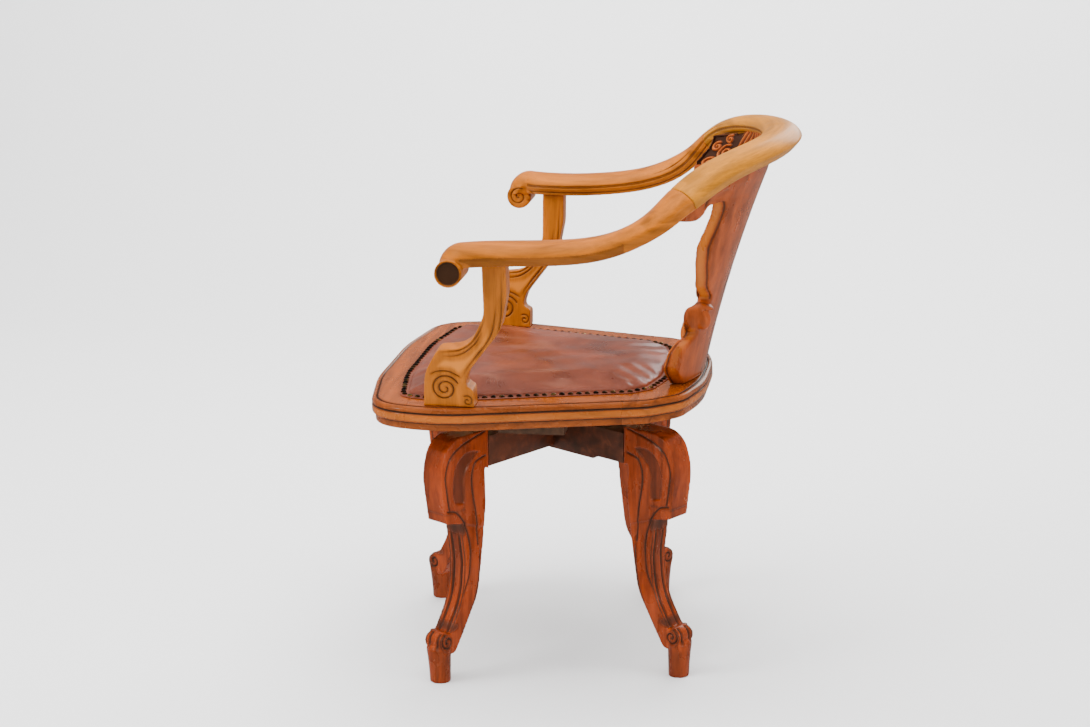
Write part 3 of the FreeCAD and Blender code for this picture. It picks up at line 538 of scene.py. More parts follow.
def length(name, description, default, least, most):
    """A length in millimetres that a user can change."""
    return bpy.props.FloatProperty(name=name, description=description + ", in millimetres", default=default,
                                   min=least, max=most)


class ChairFinish(bpy.types.PropertyGroup):
    """Colours that a user would change."""
    leg_wood: colour("Leg wood", "Middle tone of the red-brown mahogany legs", "7a2c07")
    frame_wood: colour("Frame wood", "Middle tone of the seat frame", "803b08")
    arm_wood: colour("Arm wood", "Middle tone of the arms and their supports", "995105")
    splat_wood: colour("Splat wood", "Middle tone of the back splat", "84380c")
    leather: colour("Leather", "Oxblood leather of the pad", "5e2a18")


class ChairCarving(bpy.types.PropertyGroup):
    """Sizes of the carving that a user would change."""
    grid: length("Grid", "Spacing of the points that carving moves", 1.15, 0.8, 3.0)
    groove_half: length("Groove half width", "Half the width of a carved line", 1.9, 0.5, 4.0)
    groove_deep: length("Groove depth", "Depth of a carved line", 1.7, 0.2, 4.0)


def finish():
    return bpy.context.scene.chair_finish


def cuts():
    return bpy.context.scene.chair_carving


# ---------------------------------------------------------------- stage

class CHAIR_OT_stage(bpy.types.Operator):
    """Pale floor and backdrop, soft studio light and the camera"""
    bl_idname = "chair.stage"
    bl_label = "Stage"

    def execute(self, context):
        shape = bmesh.new()
        reach, bend = 6.0, 1.6
        turns = [radians(90 * step / 12) for step in range(1, 13)]
        outline = [(reach, 0), (-reach * 0.3, 0), *((-reach * 0.3 - bend * sin(turn), bend * (1 - cos(turn)))
                                                    for turn in turns), (-reach * 0.3 - bend, 6)]
        edge = [shape.verts.new((x, -reach * 1.5, z)) for x, z in outline]
        edges = [shape.edges.new(pair) for pair in zip(edge, edge[1:])]
        stretch(shape, bmesh.ops.extrude_edge_only(shape, edges=edges), (0, reach * 3, 0))
        floor = new_piece("studio_floor", shape)
        floor.data.polygons.foreach_set("use_smooth", [True] * len(floor.data.polygons))
        # matt studio paper: plain white, a little greyer where it lies on the floor
        material, tree, shader = new_material("matt studio paper")
        place = add(tree, "TexCoord", {}, "Object")
        cloud = add(tree, "TexNoise", {"Vector": place, "Scale": 1.2, "Detail": 2.0})
        rise = add(tree, "SeparateXYZ", {"Vector": place}, "Z")
        tone = add(tree, "ValToRGB", {0: cloud, "stops": ((0.3, linear("f2f2f2")), (0.7, linear("f8f8f8")))})
        trodden = add(tree, "ValToRGB", {0: rise, "stops": ((0.0, grey(1)), (0.9, grey(0)))})
        paper = add(tree, "Mix", {"data_type": "RGBA", 0: trodden, 6: tone, 7: linear("e4e4e4")}, 2)
        settle(shader, {"Base Color": paper, "Roughness": 0.9})
        floor.data.materials.append(material)
        floor.visible_glossy = False        # polish then shows the lamps, not a white haze

        world = bpy.data.worlds.new("studio air")
        context.scene.world = world
        world.use_nodes = True
        settle(world.node_tree.nodes["Background"], {0: linear("f4f4f6"), 1: 0.38})
        for name, place, aim, wide, power, shows in (
            ("overhead softbox", (0.4, -0.3, 3.4), (0, 0, 0.4), 4.4, 390, False),
            ("front softbox", (1.6, -3.1, 1.7), (0, 0, 0.5), 1.4, 92, False),
            ("front lamp", (2.3, -2.6, 1.8), (0, 0, 0.5), 0.5, 16, True),
            ("side lamp", (2.3, 2.4, 1.2), (0, 0, 0.45), 0.5, 10, True),
            ("rear fill", (1.2, 3.6, 1.4), (0, 0, 0.5), 2.4, 80, False),
            ("rear window", (-2.3, 0.9, 1.45), (0, 0, 0.5), 1.3, 18, True),
            ("backdrop light", (-1.2, 0, 3.2), (-3.4, 0, 1.2), 3.0, 140, False),
        ):
            light = bpy.data.lights.new(name, "AREA")
            light.shape = "SQUARE"
            light.size = wide
            light.energy = power
            lamp = new_object(name, light)
            lamp.location = place
            lamp.rotation_euler = (Vector(aim) - Vector(place)).to_track_quat("-Z", "Y").to_euler()
            lamp.visible_glossy = shows
            lamp.visible_camera = False

        camera = bpy.data.cameras.new("camera")
        camera.sensor_width = 36
        camera.lens = 77.62
        camera.clip_end = 100
        eye = new_object("camera", camera)
        eye.rotation_mode = "QUATERNION"
        eye.location = (3.3869, 0.5085, 1.3670)
        aim = Vector((-0.9513, -0.1631, -0.2616)).to_track_quat("-Z", "Y")
        eye.rotation_quaternion = aim @ Matrix.Rotation(radians(-0.7056), 4, "Z").to_quaternion()
        context.scene.camera = eye
        return {"FINISHED"}


# ---------------------------------------------------------------- legs

LEGS = ("leg_front_left", "leg_rear_left", "leg_rear_right", "leg_front_right")


def leg_angle(node):
    """The direction in which a leg stands from the swivel's axis."""
    points = read(frame["nodes"][node].data.vertices, "co")
    foot = points[points[:, 2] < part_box(node)[0].z + 0.002].mean(0)
    return atan2(foot[1] - AXIS.y, foot[0] - AXIS.x)


def carve_leg(piece, angle):
    """Side grooves, sunk panel, ribbed shin, volutes and foot of one leg."""
    along = ((cos(angle), sin(angle), 0), (0, 0, 1), (-sin(angle), cos(angle), 0))
    work = Carving(piece, AXIS / MM * Vector((1, 1, 0)), along)
    half, deep = cuts().groove_half, cuts().groove_deep
    reach, height, side = work.at.T
    flat_side = np.abs(work.facing[:, 2]) > 0.75
    for corners in (
        [(247, 266), (229, 260), (213, 240), (205, 221), (201, 204), (200, 187), (203, 158), (212, 137),
         (223, 116),
         (236, 98), (246, 87)],
        [(168, 371), (201, 364), (222, 357), (239, 346), (247, 331), (250, 317), (248, 298), (245, 277),
         (243, 267)],
        [(168, 334), (187, 329), (194, 318), (197, 304), (196, 288), (193, 272), (190, 256), (188, 240),
         (186, 224),
         (184, 200)],
    ):
        work.groove(smooth_line(corners), half, deep, flat_side)
    back = smooth_line([(180, 196), (181, 175), (183, 152), (188, 130), (196, 109), (207, 88), (222, 68)])
    work.groove(back, half * 0.8, deep * 0.7, flat_side, taper=15)
    panel = smooth_line([(181, 344), (200, 348), (217, 343), (229, 330), (234, 314), (235, 294), (232, 275),
                         (213, 271), (211, 290), (212, 306), (206, 321), (195, 332)], closed=True)
    near, share = work.field(panel, 2.5, flat_side)
    work.cut(share * 1.8, share * 0.55, near)
    # foot volutes: a spiral on each side face
    work.groove(spiral((251, 64), 12.5, 2.0, 1.4, 75, -1), half * 1.1, deep * 1.4, np.abs(side) > 13)
    # shin front: two grooves leave a rounded rib that runs down between the volutes
    front = (work.facing[:, 0] > 0.25) & (height < 236) & (height > 48)
    fade = unit((height - 48) / 10) * unit((236 - height) / 22)
    for offset, wide, down in ((8.0, 3.3, 3.0), (15.0, 1.5, 1.2)):
        shape = np.where(front, hump((np.abs(side) - offset) / wide, 1.2) * fade, 0)
        work.cut(shape * down, shape)
    # a scoop cut under the shoulder with painted shade in it, painted shade where the shin meets the volutes
    # and under the step, and the foot darker near the floor
    scoop = unit(1 - ((reach - 214) / 9) ** 2 - ((height - 232) / 16) ** 2)
    nook = unit(1 - ((reach - 240) / 16) ** 2 - ((height - 84) / 9) ** 2)
    lip = unit(1 - np.abs(height - 262) / 3.5) * (reach > 212)
    foot = unit((46 - height) / 6)
    painted_shade = np.max([scoop * 0.8, nook * 0.8, lip * 0.5, foot * 0.2], axis=0)
    work.cut(np.where(flat_side, 0, scoop * 1.5), painted_shade)
    # the turned foot swells into the scroll above it
    below = unit((62 - height) / 10)
    away = work.at[:, [0, 2]] - (256, 0)
    share = 0.07 + 0.2 * (unit((height - 10) / 40) ** 1.6 * below)
    share *= unit((20 - np.linalg.norm(away, axis=1)) / 4) * below
    work.at[:, [0, 2]] += away * share[:, None]
    work.done(lambda at: at[:, [1, 0, 2]])


class CHAIR_OT_legs(bpy.types.Operator):
    """Four carved legs with scrolled shoulders, ribbed shins and side volutes"""
    bl_idname = "chair.legs"
    bl_label = "Legs"

    def execute(self, context):
        angle = leg_angle(LEGS[0])
        master = carving_blank("carved_" + LEGS[0], LEGS[0], 24, 0.4)
        carve_leg(master, angle)
        # deep red-brown with a soft gloss
        material = wood("carved mahogany, shellacked", shades(finish().leg_wood, 0.42, 1.6), 0.24, 0.35)
        for node in LEGS:
            piece = master
            if node != LEGS[0]:
                piece = new_object("carved_" + node, master.data.copy())
                shift = Matrix.Translation((AXIS.x, AXIS.y, 0))
                turn = Matrix.Rotation(leg_angle(node) - angle, 4, "Z")
                piece.data.transform(shift @ turn @ shift.inverted())
            finish_piece(piece, "base", "leg_wood", material, node)
        return {"FINISHED"}


# ---------------------------------------------------------------- plainer wood and iron

class CHAIR_OT_cross(bpy.types.Operator):
    """The two dark rails, half-lapped, that join the legs"""
    bl_idname = "chair.cross"
    bl_label = "Cross rails"

    def execute(self, context):
        # near black, dull and open-pored
        tones = [linear(code) for code in ("200e07", "3f1a0c", "622c16")]
        material = wood("oiled walnut", tones, 0.45, 0.4, 0.05)
        for node, leg in (("cross_rail_lower", "leg_front_left"), ("cross_rail_upper", "leg_rear_left")):
            piece = eased_copy("waxed_" + node, node, 1.4)
            angle = leg_angle(leg)
            straight_grain(piece, (cos(angle), sin(angle), 0), (-sin(angle), cos(angle), 0))
            finish_piece(piece, "base", "cross_wood", material, node, crisp=38)
        return {"FINISHED"}


class CHAIR_OT_swivel(bpy.types.Operator):
    """Iron plates, spindle, bush, washers, nut and screws of the swivel"""
    bl_idname = "chair.swivel"
    bl_label = "Swivel"

    def execute(self, context):
        iron = ("swivel_iron", metal("blacked cast iron", "2b2724", 0.55))
        steel = ("steel", metal("turned steel", "8d8a86", 0.32))
        brass = ("bush_brass", metal("turned brass", "b08a45", 0.3))
        for node, body, finish in (
            ("lower_swivel_plate", "base", iron), ("upper_swivel_plate", "seat", iron),
            ("spindle", "seat", steel),
            ("retaining_washer", "seat", steel), ("retaining_nut", "seat", steel),
            ("thrust_washer", "base", steel),
            ("pivot_bush", "base", brass), ("lower_plate_screws", "base", steel),
            ("upper_plate_screws", "seat", steel), ("seat_board_screws", "seat", steel),
        ):
            finish_piece(eased_copy("eased_" + node, node, 0.4), body, *finish, node, crisp=38)
        return {"FINISHED"}


class CHAIR_OT_board(bpy.types.Operator):
    """The planed board under the seat and the plain dowels in the joints"""
    bl_idname = "chair.board"
    bl_label = "Board and dowels"

    def execute(self, context):
        board = eased_copy("planed_seat_board", "seat_board", 1.2)
        straight_grain(board, (1, 0, 0), (0, 1, 0))
        # dark brown and quite without polish
        tones = [linear(code) for code in ("2c190f", "3e2517", "543522")]
        material = wood("stained beech", tones, 0.6, 0.3, 0.0)
        finish_piece(board, "seat", "board_wood", material, "seat_board", crisp=38)
        plain = turned_beech()
        for node, thing in frame["nodes"].items():
            if node.endswith("dowels"):
                thing.data.materials.clear()
                thing.data.materials.append(plain)
        return {"FINISHED"}


# ---------------------------------------------------------------- seat frame

SEAT_SWELL = 0.9915          # widest half width of the seat over the outline's own half width
SEAT_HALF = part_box("seat_rail_left")[1].x / MM / SEAT_SWELL
SEAT_FRONT = (AXIS.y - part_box("seat_rail_front")[0].y) / MM
SEAT_REAR = (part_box("seat_rail_rear")[1].y - AXIS.y) / MM
FRAME_TALL = (SEAT_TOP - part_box("seat_rail_left")[0].z) / MM
LEATHER_ROOM = 12.0          # how much further in the leather ends at the rear


def seat_loop(inset, room=0.0, count=240):
    """The seat's outline about the swivel axis, drawn in by a distance, as evenly spaced points."""
    half, front, rear = SEAT_HALF, SEAT_FRONT, SEAT_REAR - room
    right = [(0.36 * half, -front, 400), (0.93 * half, -0.905 * front, 72),
             (1.02 * half, -0.49 * front, 190),
             (0.715 * half, 0.70 * rear, 60), (0.56 * half, 0.90 * rear, 60), (0.24 * half, rear, 300)]
    corners = [(Vector((x, y)), radius) for x, y, radius in right]
    corners += [(Vector((-x, y)), radius) for x, y, radius in reversed(right)]
    moved = []
    for i, (here, radius) in enumerate(corners):
        first = (here - corners[i - 1][0]).normalized()
        second = (corners[i + 1 - len(corners)][0] - here).normalized()
        inward = Vector((-first.y - second.y, first.x + second.x)).normalized()
        shift = inset / (inward.y * first.x - inward.x * first.y)
        moved.append((here + inward * shift, max(radius - inset, 6.0)))
    points = []
    for i, (here, radius) in enumerate(moved):
        back = moved[i - 1][0] - here
        ahead = moved[i + 1 - len(moved)][0] - here
        reach = min(radius * tan((pi - back.angle(ahead)) / 2), 0.49 * min(back.length, ahead.length))
        start = here + back.normalized() * reach
        end = here + ahead.normalized() * reach
        for t in np.linspace(0, 1, 24):
            points.append(start * (1 - t) ** 2 + here * 2 * t * (1 - t) + end * t ** 2)
    front_middle = (points[0] + points[-1]) / 2
    points = np.array([front_middle, *points, front_middle])
    travelled = np.append(0, np.cumsum(np.linalg.norm(np.diff(points, axis=0), axis=1)))
    even = np.linspace(0, travelled[-1], count, endpoint=False)
    return [Vector([np.interp(t, travelled, points[:, axis]) for axis in (0, 1)]) for t in even]


def loft(name, profile, room=0.0, count=240, closed=True):
    """Rings round the seat's outline, skinned; a ring is (inset, height) and may add its dark wax and painted
    shade (painted highlight below 0) and room.
    """
    shape = bmesh.new()
    wax = shape.verts.layers.float.new("wax")
    rings = []
    for inset, height, *more in profile:
        loop = seat_loop(inset, more[1] if len(more) > 1 else room, count)
        rings.append([shape.verts.new(spot(*place, height, SEAT_TOP)) for place in loop])
        for vert in rings[-1]:
            vert[wax] = more[0] if more else 0.0
    skin(shape, rings, closed)
    return new_piece(name, shape)


def frame_profile():
    """Flat top, quirk, rounded bead, fine groove, ovolo fascia and a lower fascia set back."""
    low = -FRAME_TALL
    bead = [(6.2 - 6.0 * sin(a), -6.4 + 6.0 * cos(a), 0.22) for a in np.linspace(0.3, 1.45, 6)]
    # third numbers: dark wax and painted shade in the quirk, the groove, under the fascia and along the
    # bottom edge, painted shade on the bead and on the top beside the pad, painted highlight on the fascia
    # below 0
    return [(80, low), (80, -7), (60, -7, 0.0, LEATHER_ROOM), (60, 0, 0.5, LEATHER_ROOM), (40, 0, 0.2),
            (34, 0),
            (14, 0), (10.6, 0, 0.3), (9.6, -0.5, 0.9), (8.6, -2.2, 1.0), (7.6, -2.6, 1.0), (6.6, -1.6, 0.6),
            (5.8, -0.5), *bead, (0.3, -7.4, 0.3), (1.3, -8.4, 1.0), (1.7, -9.4, 1.0), (1.2, -10.3, 1.0),
            (0.4, -11.0, 0.4), (0.0, -12.2, -0.2), (0.0, -19.5, -0.3), (0.6, -21.6), (2.2, -23.2, 0.6),
            (4.0, -23.9, 1.0), (4.9, -24.6, 0.9), (5.0, -26.0, 0.3), (5.0, low + 1.6), (5.6, low + 0.5, 0.3),
            (6.8, low, 0.6)]


class CHAIR_OT_seat_frame(bpy.types.Operator):
    """The moulded seat frame in four rails, butted at their joints"""
    bl_idname = "chair.seat_frame"
    bl_label = "Seat frame"

    def execute(self, context):
        whole = loft("whole_frame", frame_profile())
        # warm red-brown under a clear, glossy polish
        tones = shades(finish().frame_wood, 0.5, 1.4)
        material = wood("moulded mahogany, french polished", tones, 0.24, 0.35)
        low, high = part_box("seat_rail_left")
        joint = 0.12 * MM
        behind, ahead = (0, 1, 0), (0, -1, 0)
        between = [((0, low.y + joint, 0), ahead), ((0, high.y - joint, 0), behind)]
        for node, along, planes in (
            ("seat_rail_front", (1, 0, 0), [((0, low.y - joint, 0), behind)]),
            ("seat_rail_rear", (1, 0, 0), [((0, high.y + joint, 0), ahead)]),
            ("seat_rail_left", (0, 1, 0), between + [((0, 0, 0), (-1, 0, 0))]),
            ("seat_rail_right", (0, 1, 0), between + [((0, 0, 0), (1, 0, 0))]),
        ):
            shape = bmesh.new()
            shape.from_mesh(whole.data)
            for place, away in planes:
                geometry = shape.verts[:] + shape.edges[:] + shape.faces[:]
                bmesh.ops.bisect_plane(shape, geom=geometry, plane_co=place, plane_no=away, clear_outer=True)
                bmesh.ops.holes_fill(shape, edges=[edge for edge in shape.edges if edge.is_boundary])
            piece = new_piece("moulded_" + node, shape)
            straight_grain(piece, along, (along[1], along[0], 0))
            finish_piece(piece, "seat", "frame_wood", material, node, crisp=32)
        bpy.data.objects.remove(whole)
        return {"FINISHED"}


# ---------------------------------------------------------------- upholstery

def swell(piece, most):
    """Cloth under pressure over the form: pinned at its edge, and no point moves further than most."""
    at_rest = points_of(piece)
    held = at_rest[:, 2] - SEAT_TOP / MM < 2.5
    piece.vertex_groups.new(name="pinned").add(np.flatnonzero(held).tolist(), 1.0, "REPLACE")
    cloth = piece.modifiers.new("cloth", "CLOTH")
    cloth.settings.quality = 6
    cloth.settings.use_pressure = True
    cloth.settings.uniform_pressure_force = 4.0
    cloth.settings.tension_stiffness = 18
    cloth.settings.bending_stiffness = 1.2
    cloth.settings.vertex_group_mass = "pinned"
    cloth.settings.effector_weights.gravity = 0
    cloth.point_cache.frame_start = 1
    cloth.point_cache.frame_end = 20
    for step in range(1, 21):
        bpy.context.scene.frame_set(step)
    bake(piece)
    moved = limited(points_of(piece) - at_rest, most)
    moved[held] = 0
    put_points(piece, at_rest + moved)
    bpy.context.scene.frame_set(1)


def nail_centres():
    """Where each nail stands: the middle of each loose part of the CAD's nails."""
    shape = merged("seat_nails")
    seen, found = set(), []
    for start in shape.verts:
        if start in seen:
            continue
        part = [start]
        seen.add(start)
        for vert in part:
            for other in (edge.other_vert(vert) for edge in vert.link_edges):
                if other not in seen:
                    seen.add(other)
                    part.append(other)
        flat = np.array([vert.co[:2] for vert in part])
        found.append((flat.min(0) + flat.max(0)) / 2)
    shape.free()
    return np.array(found)


def dress_pad(piece):
    """Pulls the leather in at each nail, and lays the soft creases of long use over the top."""
    points = points_of(piece)
    x, y, z = points.T
    height = z - SEAT_TOP / MM
    gap = np.min([np.linalg.norm(points[:, :2] - nail, axis=1) for nail in nail_centres() / MM], axis=0)
    top = unit((height - 7) / 6)
    rolls = (0.75 * np.sin(x / 31 + 1.4 * np.sin(y / 47)) * np.sin(y / 39 + 0.9)
             + 0.45 * np.sin(x / 13 + y / 19 + 1.7 * np.sin(x / 41))
             + 0.30 * np.sin(y / 9.5 - x / 17 + 1.1 * np.sin(y / 27)))
    dip = np.exp(-(((x - 5) / 120) ** 2 + ((y + 75) / 110) ** 2))
    z -= np.exp(-((gap - 4.0) / 4.6) ** 2) * unit(height / 3) * 1.5
    z += rolls * top
    z -= 1.6 * dip * top
    put_points(piece, points)


class CHAIR_OT_leather(bpy.types.Operator):
    """The stuffed leather pad and the leather margin that the nails hold"""
    bl_idname = "chair.leather"
    bl_label = "Leather pad"

    def execute(self, context):
        material = leather()
        # the form is a little low, because the cloth swells it
        pad = loft("leather_seat_pad", [(95.0, 0.3), (51.5, 0.3), (51.5, 0.8), (52.5, 4.0), (55.5, 7.8),
                                        (61.0, 10.4), (72.0, 12.0), (95.0, 13.2)], LEATHER_ROOM, 120, False)
        remesh(pad, 4.5)
        swell(pad, 5.0)
        smooth(pad, 2)
        modify(pad, "SUBSURF", levels=1, render_levels=1)
        dress_pad(pad)
        finish_piece(pad, "seat", "leather", material, "seat_leather", "seat_stuffing")
        pad.data.materials.append(hessian())
        for face in pad.data.polygons:
            face.material_index = 1 if face.normal.z < -0.7 else 0
        margin = loft("leather_margin", [(41.6, 0.2), (41.3, 0.9), (41.8, 1.6), (43.5, 1.9), (49.0, 2.0),
                                         (52.5, 2.6), (55.0, 2.4), (55.0, 0.2)], LEATHER_ROOM)
        finish_piece(margin, "seat", "leather", material, crisp=50)
        return {"FINISHED"}


class CHAIR_OT_nails(bpy.types.Operator):
    """Dome-headed brass nails round the leather's margin"""
    bl_idname = "chair.nails"
    bl_label = "Nails"

    def execute(self, context):
        draw = random.Random(7)
        shape = bmesh.new()
        base = SEAT_TOP + 2.0 * MM
        radius = 4.6 * MM
        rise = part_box("seat_nails")[1].z - base
        outline = [(0, rise), (0.36 * radius, 0.93 * rise), (0.68 * radius, 0.68 * rise),
                   (0.90 * radius, 0.32 * rise), (radius, 0.06 * rise), (0.97 * radius, -0.12 * rise)]
        for x, y in nail_centres():
            head = bmesh.new()
            verts = [head.verts.new((reach, 0, height)) for reach, height in outline]
            edges = [head.edges.new(pair) for pair in zip(verts, verts[1:])]
            bmesh.ops.spin(head, geom=verts + edges, cent=(0, 0, 0), axis=(0, 0, 1), angle=tau, steps=10,
                           use_merge=True)
            bmesh.ops.remove_doubles(head, verts=head.verts, dist=1e-7)
            bmesh.ops.holes_fill(head, edges=[edge for edge in head.edges if edge.is_boundary])
            bmesh.ops.recalc_face_normals(head, faces=head.faces)
            tilt = Matrix.Rotation(radians(draw.uniform(-9, 9)), 4, "X")
            tilt = tilt @ Matrix.Rotation(radians(draw.uniform(-9, 9)), 4, "Y")
            size = Matrix.Scale(draw.uniform(0.92, 1.0), 4)
            head.transform(Matrix.Translation((x, y, base + 0.1 * MM)) @ tilt @ size)
            mesh = bpy.data.meshes.new("head")
            head.to_mesh(mesh)
            head.free()
            shape.from_mesh(mesh)
            bpy.data.meshes.remove(mesh)
        domes = new_piece("domed_seat_nails", shape, False)
        finish_piece(domes, "seat", "nail_brass", nail_brass(), "seat_nails")
        return {"FINISHED"}


class CHAIR_OT_webbing(bpy.types.Operator):
    """Jute straps under the stuffing"""
    bl_idname = "chair.webbing"
    bl_label = "Webbing"

    def execute(self, context):
        material = hessian()
        for node in ("webbing_front_to_back", "webbing_side_to_side"):
            finish_piece(eased_copy("woven_" + node, node, 0.4), "seat", "webbing", material, node, crisp=38)
        return {"FINISHED"}


# ---------------------------------------------------------------- arm supports

def arm_wood():
    """Golden and nearly dull: faded by light and rubbed by hands."""
    tones = shades(finish().arm_wood, 0.55, 1.35)
    return wood("faded mahogany, hand polished", tones, 0.36, 0.45, 0.12, "ffd8a0")


def carve_support(piece):
    """Scrolls, double lines and a paler field on both faces of the left support."""
    lean = radians(6.2)
    thick = 30.0
    origin = (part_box("arm_support_left")[0].x / MM + thick / 2, AXIS.y / MM, SEAT_TOP / MM)
    work = Carving(piece, origin, ((0, 1, 0), (sin(lean), 0, cos(lean)), (cos(lean), 0, -sin(lean))))
    half, deep = cuts().groove_half * 0.85, cuts().groove_deep
    face = np.abs(work.facing[:, 2]) > 0.75
    soft = 0.7                  # reddish lines, not black ones
    work.groove(spiral((-113, 29.5), 20.5, 3.0, 2.05, 25), half * 1.05, deep * 1.2, face, wax_shade_highlight=soft + 0.1)
    for fade, corners in (
        (6, [(-134, 50), (-124, 55), (-110, 56), (-98, 52), (-88, 46)]),
        (40, [(-88, 46), (-80, 60), (-67, 78), (-52, 97), (-42, 116), (-37, 138), (-34, 160)]),
        (60, [(-80, 36), (-73, 51), (-61, 68), (-45, 90), (-34, 112), (-28, 140), (-26, 175), (-25, 206)]),
        (30, [(-121, 84), (-105, 86), (-90, 88), (-76, 96), (-64, 110), (-55, 127), (-50, 144)]),
        (22, [(-114, 79), (-100, 79), (-86, 83), (-73, 92), (-62, 105), (-55, 118)]),
    ):
        work.groove(smooth_line(corners), half, deep, face, taper=fade, wax_shade_highlight=soft)
    work.groove(spiral((-81, 11), 8.5, 1.5, 1.2, 120, -1), half * 0.9, deep, face, wax_shade_highlight=soft)
    arc = spiral((-86, 29.5), 18, 18, 110 / 360, 60, -1, 12)
    work.groove(arc, half * 0.8, deep * 0.8, face, taper=8, wax_shade_highlight=soft)
    field = smooth_line([(-124, 62), (-114, 74), (-98, 74), (-82, 78), (-66, 92), (-54, 110), (-48, 124),
                         (-46, 112), (-56, 94), (-70, 76), (-84, 58), (-92, 53), (-104, 60)], closed=True)
    near, share = work.field(field, 5.0, face)
    work.wax_shade_highlight[near] = np.where(work.wax_shade_highlight[near] > 0.05, work.wax_shade_highlight[near], -0.8 * share)
    work.done(lambda at: at[:, [1, 0, 2]])


class CHAIR_OT_supports(bpy.types.Operator):
    """Carved supports under the arms"""
    bl_idname = "chair.supports"
    bl_label = "Arm supports"

    def execute(self, context):
        left = carving_blank("carved_arm_support_left", "arm_support_left", 14, 0.3)
        carve_support(left)
        finish_pair(left, "arm_support_left", "seat", "arm_wood", arm_wood())
        return {"FINISHED"}


# ---------------------------------------------------------------- arms and crest

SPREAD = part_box("arm_left")[1].x / MM - 30.5        # x of the middle of a scroll
REACH = (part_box("crest_rail")[1].y - AXIS.y) / MM - 31


def rail_line():
    """The horseshoe's middle line in plan, about the swivel axis, from right to left."""
    half = [(0.98, -0.23), (0.925, -0.10), (0.925, 0.17), (0.945, 0.36), (0.955, 0.52), (0.885, 0.655),
            (0.71, 0.775), (0.40, 0.925)]
    corners = [(-x * SPREAD, y * REACH) for x, y in half] + [(0, REACH)]
    return smooth_line(corners + [(x * SPREAD, y * REACH) for x, y in reversed(half)])


def upper_arrises(node):
    """A finder of the nearest place on the sharp upper edges of a rail."""
    shape = merged(node)
    shape.normal_update()
    line = rail_line()
    along = np.gradient(line, axis=0)
    found = []
    for edge in shape.edges:
        if len(edge.link_faces) != 2 or edge.calc_face_angle(0) < radians(18):
            continue
        start, end = (vert.co.xy for vert in edge.verts)
        middle = np.array((start + end) / 2 - AXIS.xy) / MM
        way = Vector(along[np.linalg.norm(line - middle, axis=1).argmin()])
        lengthwise = abs((end - start).normalized().dot(way.normalized())) >= 0.8
        if lengthwise and max(face.normal.z for face in edge.link_faces) > 0.15:
            start, end = (vert.co / MM for vert in edge.verts)
            steps = max(1, int((end - start).length))
            found.extend(start.lerp(end, i / steps) for i in range(steps + 1))
    shape.free()
    tree = KDTree(len(found))
    for index, point in enumerate(found):
        tree.insert(point, index)
    tree.balance()
    return tree


def rail_grain(points):
    """Grain that follows the horseshoe round."""
    gap, where, _ = gap_to(points[:, :2], rail_line())
    return np.stack([where, np.hypot(points[:, 0], points[:, 1]) * 0.35 + gap, points[:, 2]], 1)


def mould_rail(work, node, inner):
    """The two lines on the inner side band: at its arris and 9 mm below."""
    arrises = upper_arrises(node)
    near = np.flatnonzero(inner & (np.abs(work.facing[:, 2]) < 0.6))
    gap = np.array([arrises.find(place)[2] for place in (work.at + work.origin)[near]])
    for place, half, strength in ((1.4, 1.3, 0.75), (9.6, 2.0, 0.65)):
        shape = hump((gap - place) / half, 1.3)
        work.cut(shape * cuts().groove_deep * strength * 1.3, shape * strength, near)


def shade_band(work, node, outer, amount):
    """Paints shade on the plain band below the arris of the outer side, darker than the lit top."""
    arrises = upper_arrises(node)
    places = work.at + work.origin
    for index in np.flatnonzero(outer & (work.facing[:, 2] < 0.35)):
        arris, _, gap = arrises.find(places[index])
        if gap < 26 and arris[2] > places[index][2] + 0.6:
            work.cut(0.5 if gap < 2.4 else 0, amount, index)


class CHAIR_OT_arms(bpy.types.Operator):
    """Arms that roll over forwards onto scrolls"""
    bl_idname = "chair.arms"
    bl_label = "Arms"

    def execute(self, context):
        left = carving_blank("scrolled_arm_left", "arm_left", 24, 0.4)
        work = Carving(left)
        x_facing, y = work.facing[:, 0], work.at[:, 1]
        mould_rail(work, "arm_left", (x_facing < -0.6) & (y > -78))
        # the scroll's two ends: a dark disc outside, a carved spiral inside
        hub = (-93.0, 642.5)
        near = np.flatnonzero((x_facing > 0.7) & (y < -60))
        disc = unit((18.0 - np.hypot(*(work.at[near, 1:] - hub).T)) / 2.0)
        work.cut(disc * 4.0, disc, near)
        near = np.flatnonzero((x_facing < -0.7) & (y < -60))
        shape = hump(gap_to(work.at[near, 1:], spiral(hub, 15.0, 1.5, 1.55, 62))[0] / 1.5, 1.3)
        work.cut(shape * cuts().groove_deep, shape * 0.85, near)
        shade_band(work, "arm_left", (x_facing > 0.4) & (y > -78) & (y < 150), 0.5)
        work.done(rail_grain)
        finish_pair(left, "arm_left", "seat", "arm_wood", arm_wood())
        return {"FINISHED"}


class CHAIR_OT_crest(bpy.types.Operator):
    """The crest between the arms, rounded outside and moulded inside"""
    bl_idname = "chair.crest"
    bl_label = "Crest rail"

    def execute(self, context):
        crest = carving_blank("rounded_crest_rail", "crest_rail", 24, 0.4, 1.35)
        work = Carving(crest)
        toward = (0, 0.35 * REACH) - work.at[:, :2]
        toward /= np.linalg.norm(toward, axis=1)[:, None]
        mould_rail(work, "crest_rail", (work.facing[:, :2] * toward).sum(1) > 0.5)
        work.done(rail_grain)
        # paler and yellower than the arms, because it faces up to the light
        warm = finish().arm_wood
        tones = shades((warm[0], warm[1] * 1.38, warm[2] * 2.0), 0.55, 1.5)
        material = wood("faded mahogany crest, hand polished", tones, 0.34, 0.5, 0.15, "ffd8a0")
        finish_piece(crest, "seat", "arm_wood", material, "crest_rail")
        return {"FINISHED"}


# ---------------------------------------------------------------- back splat

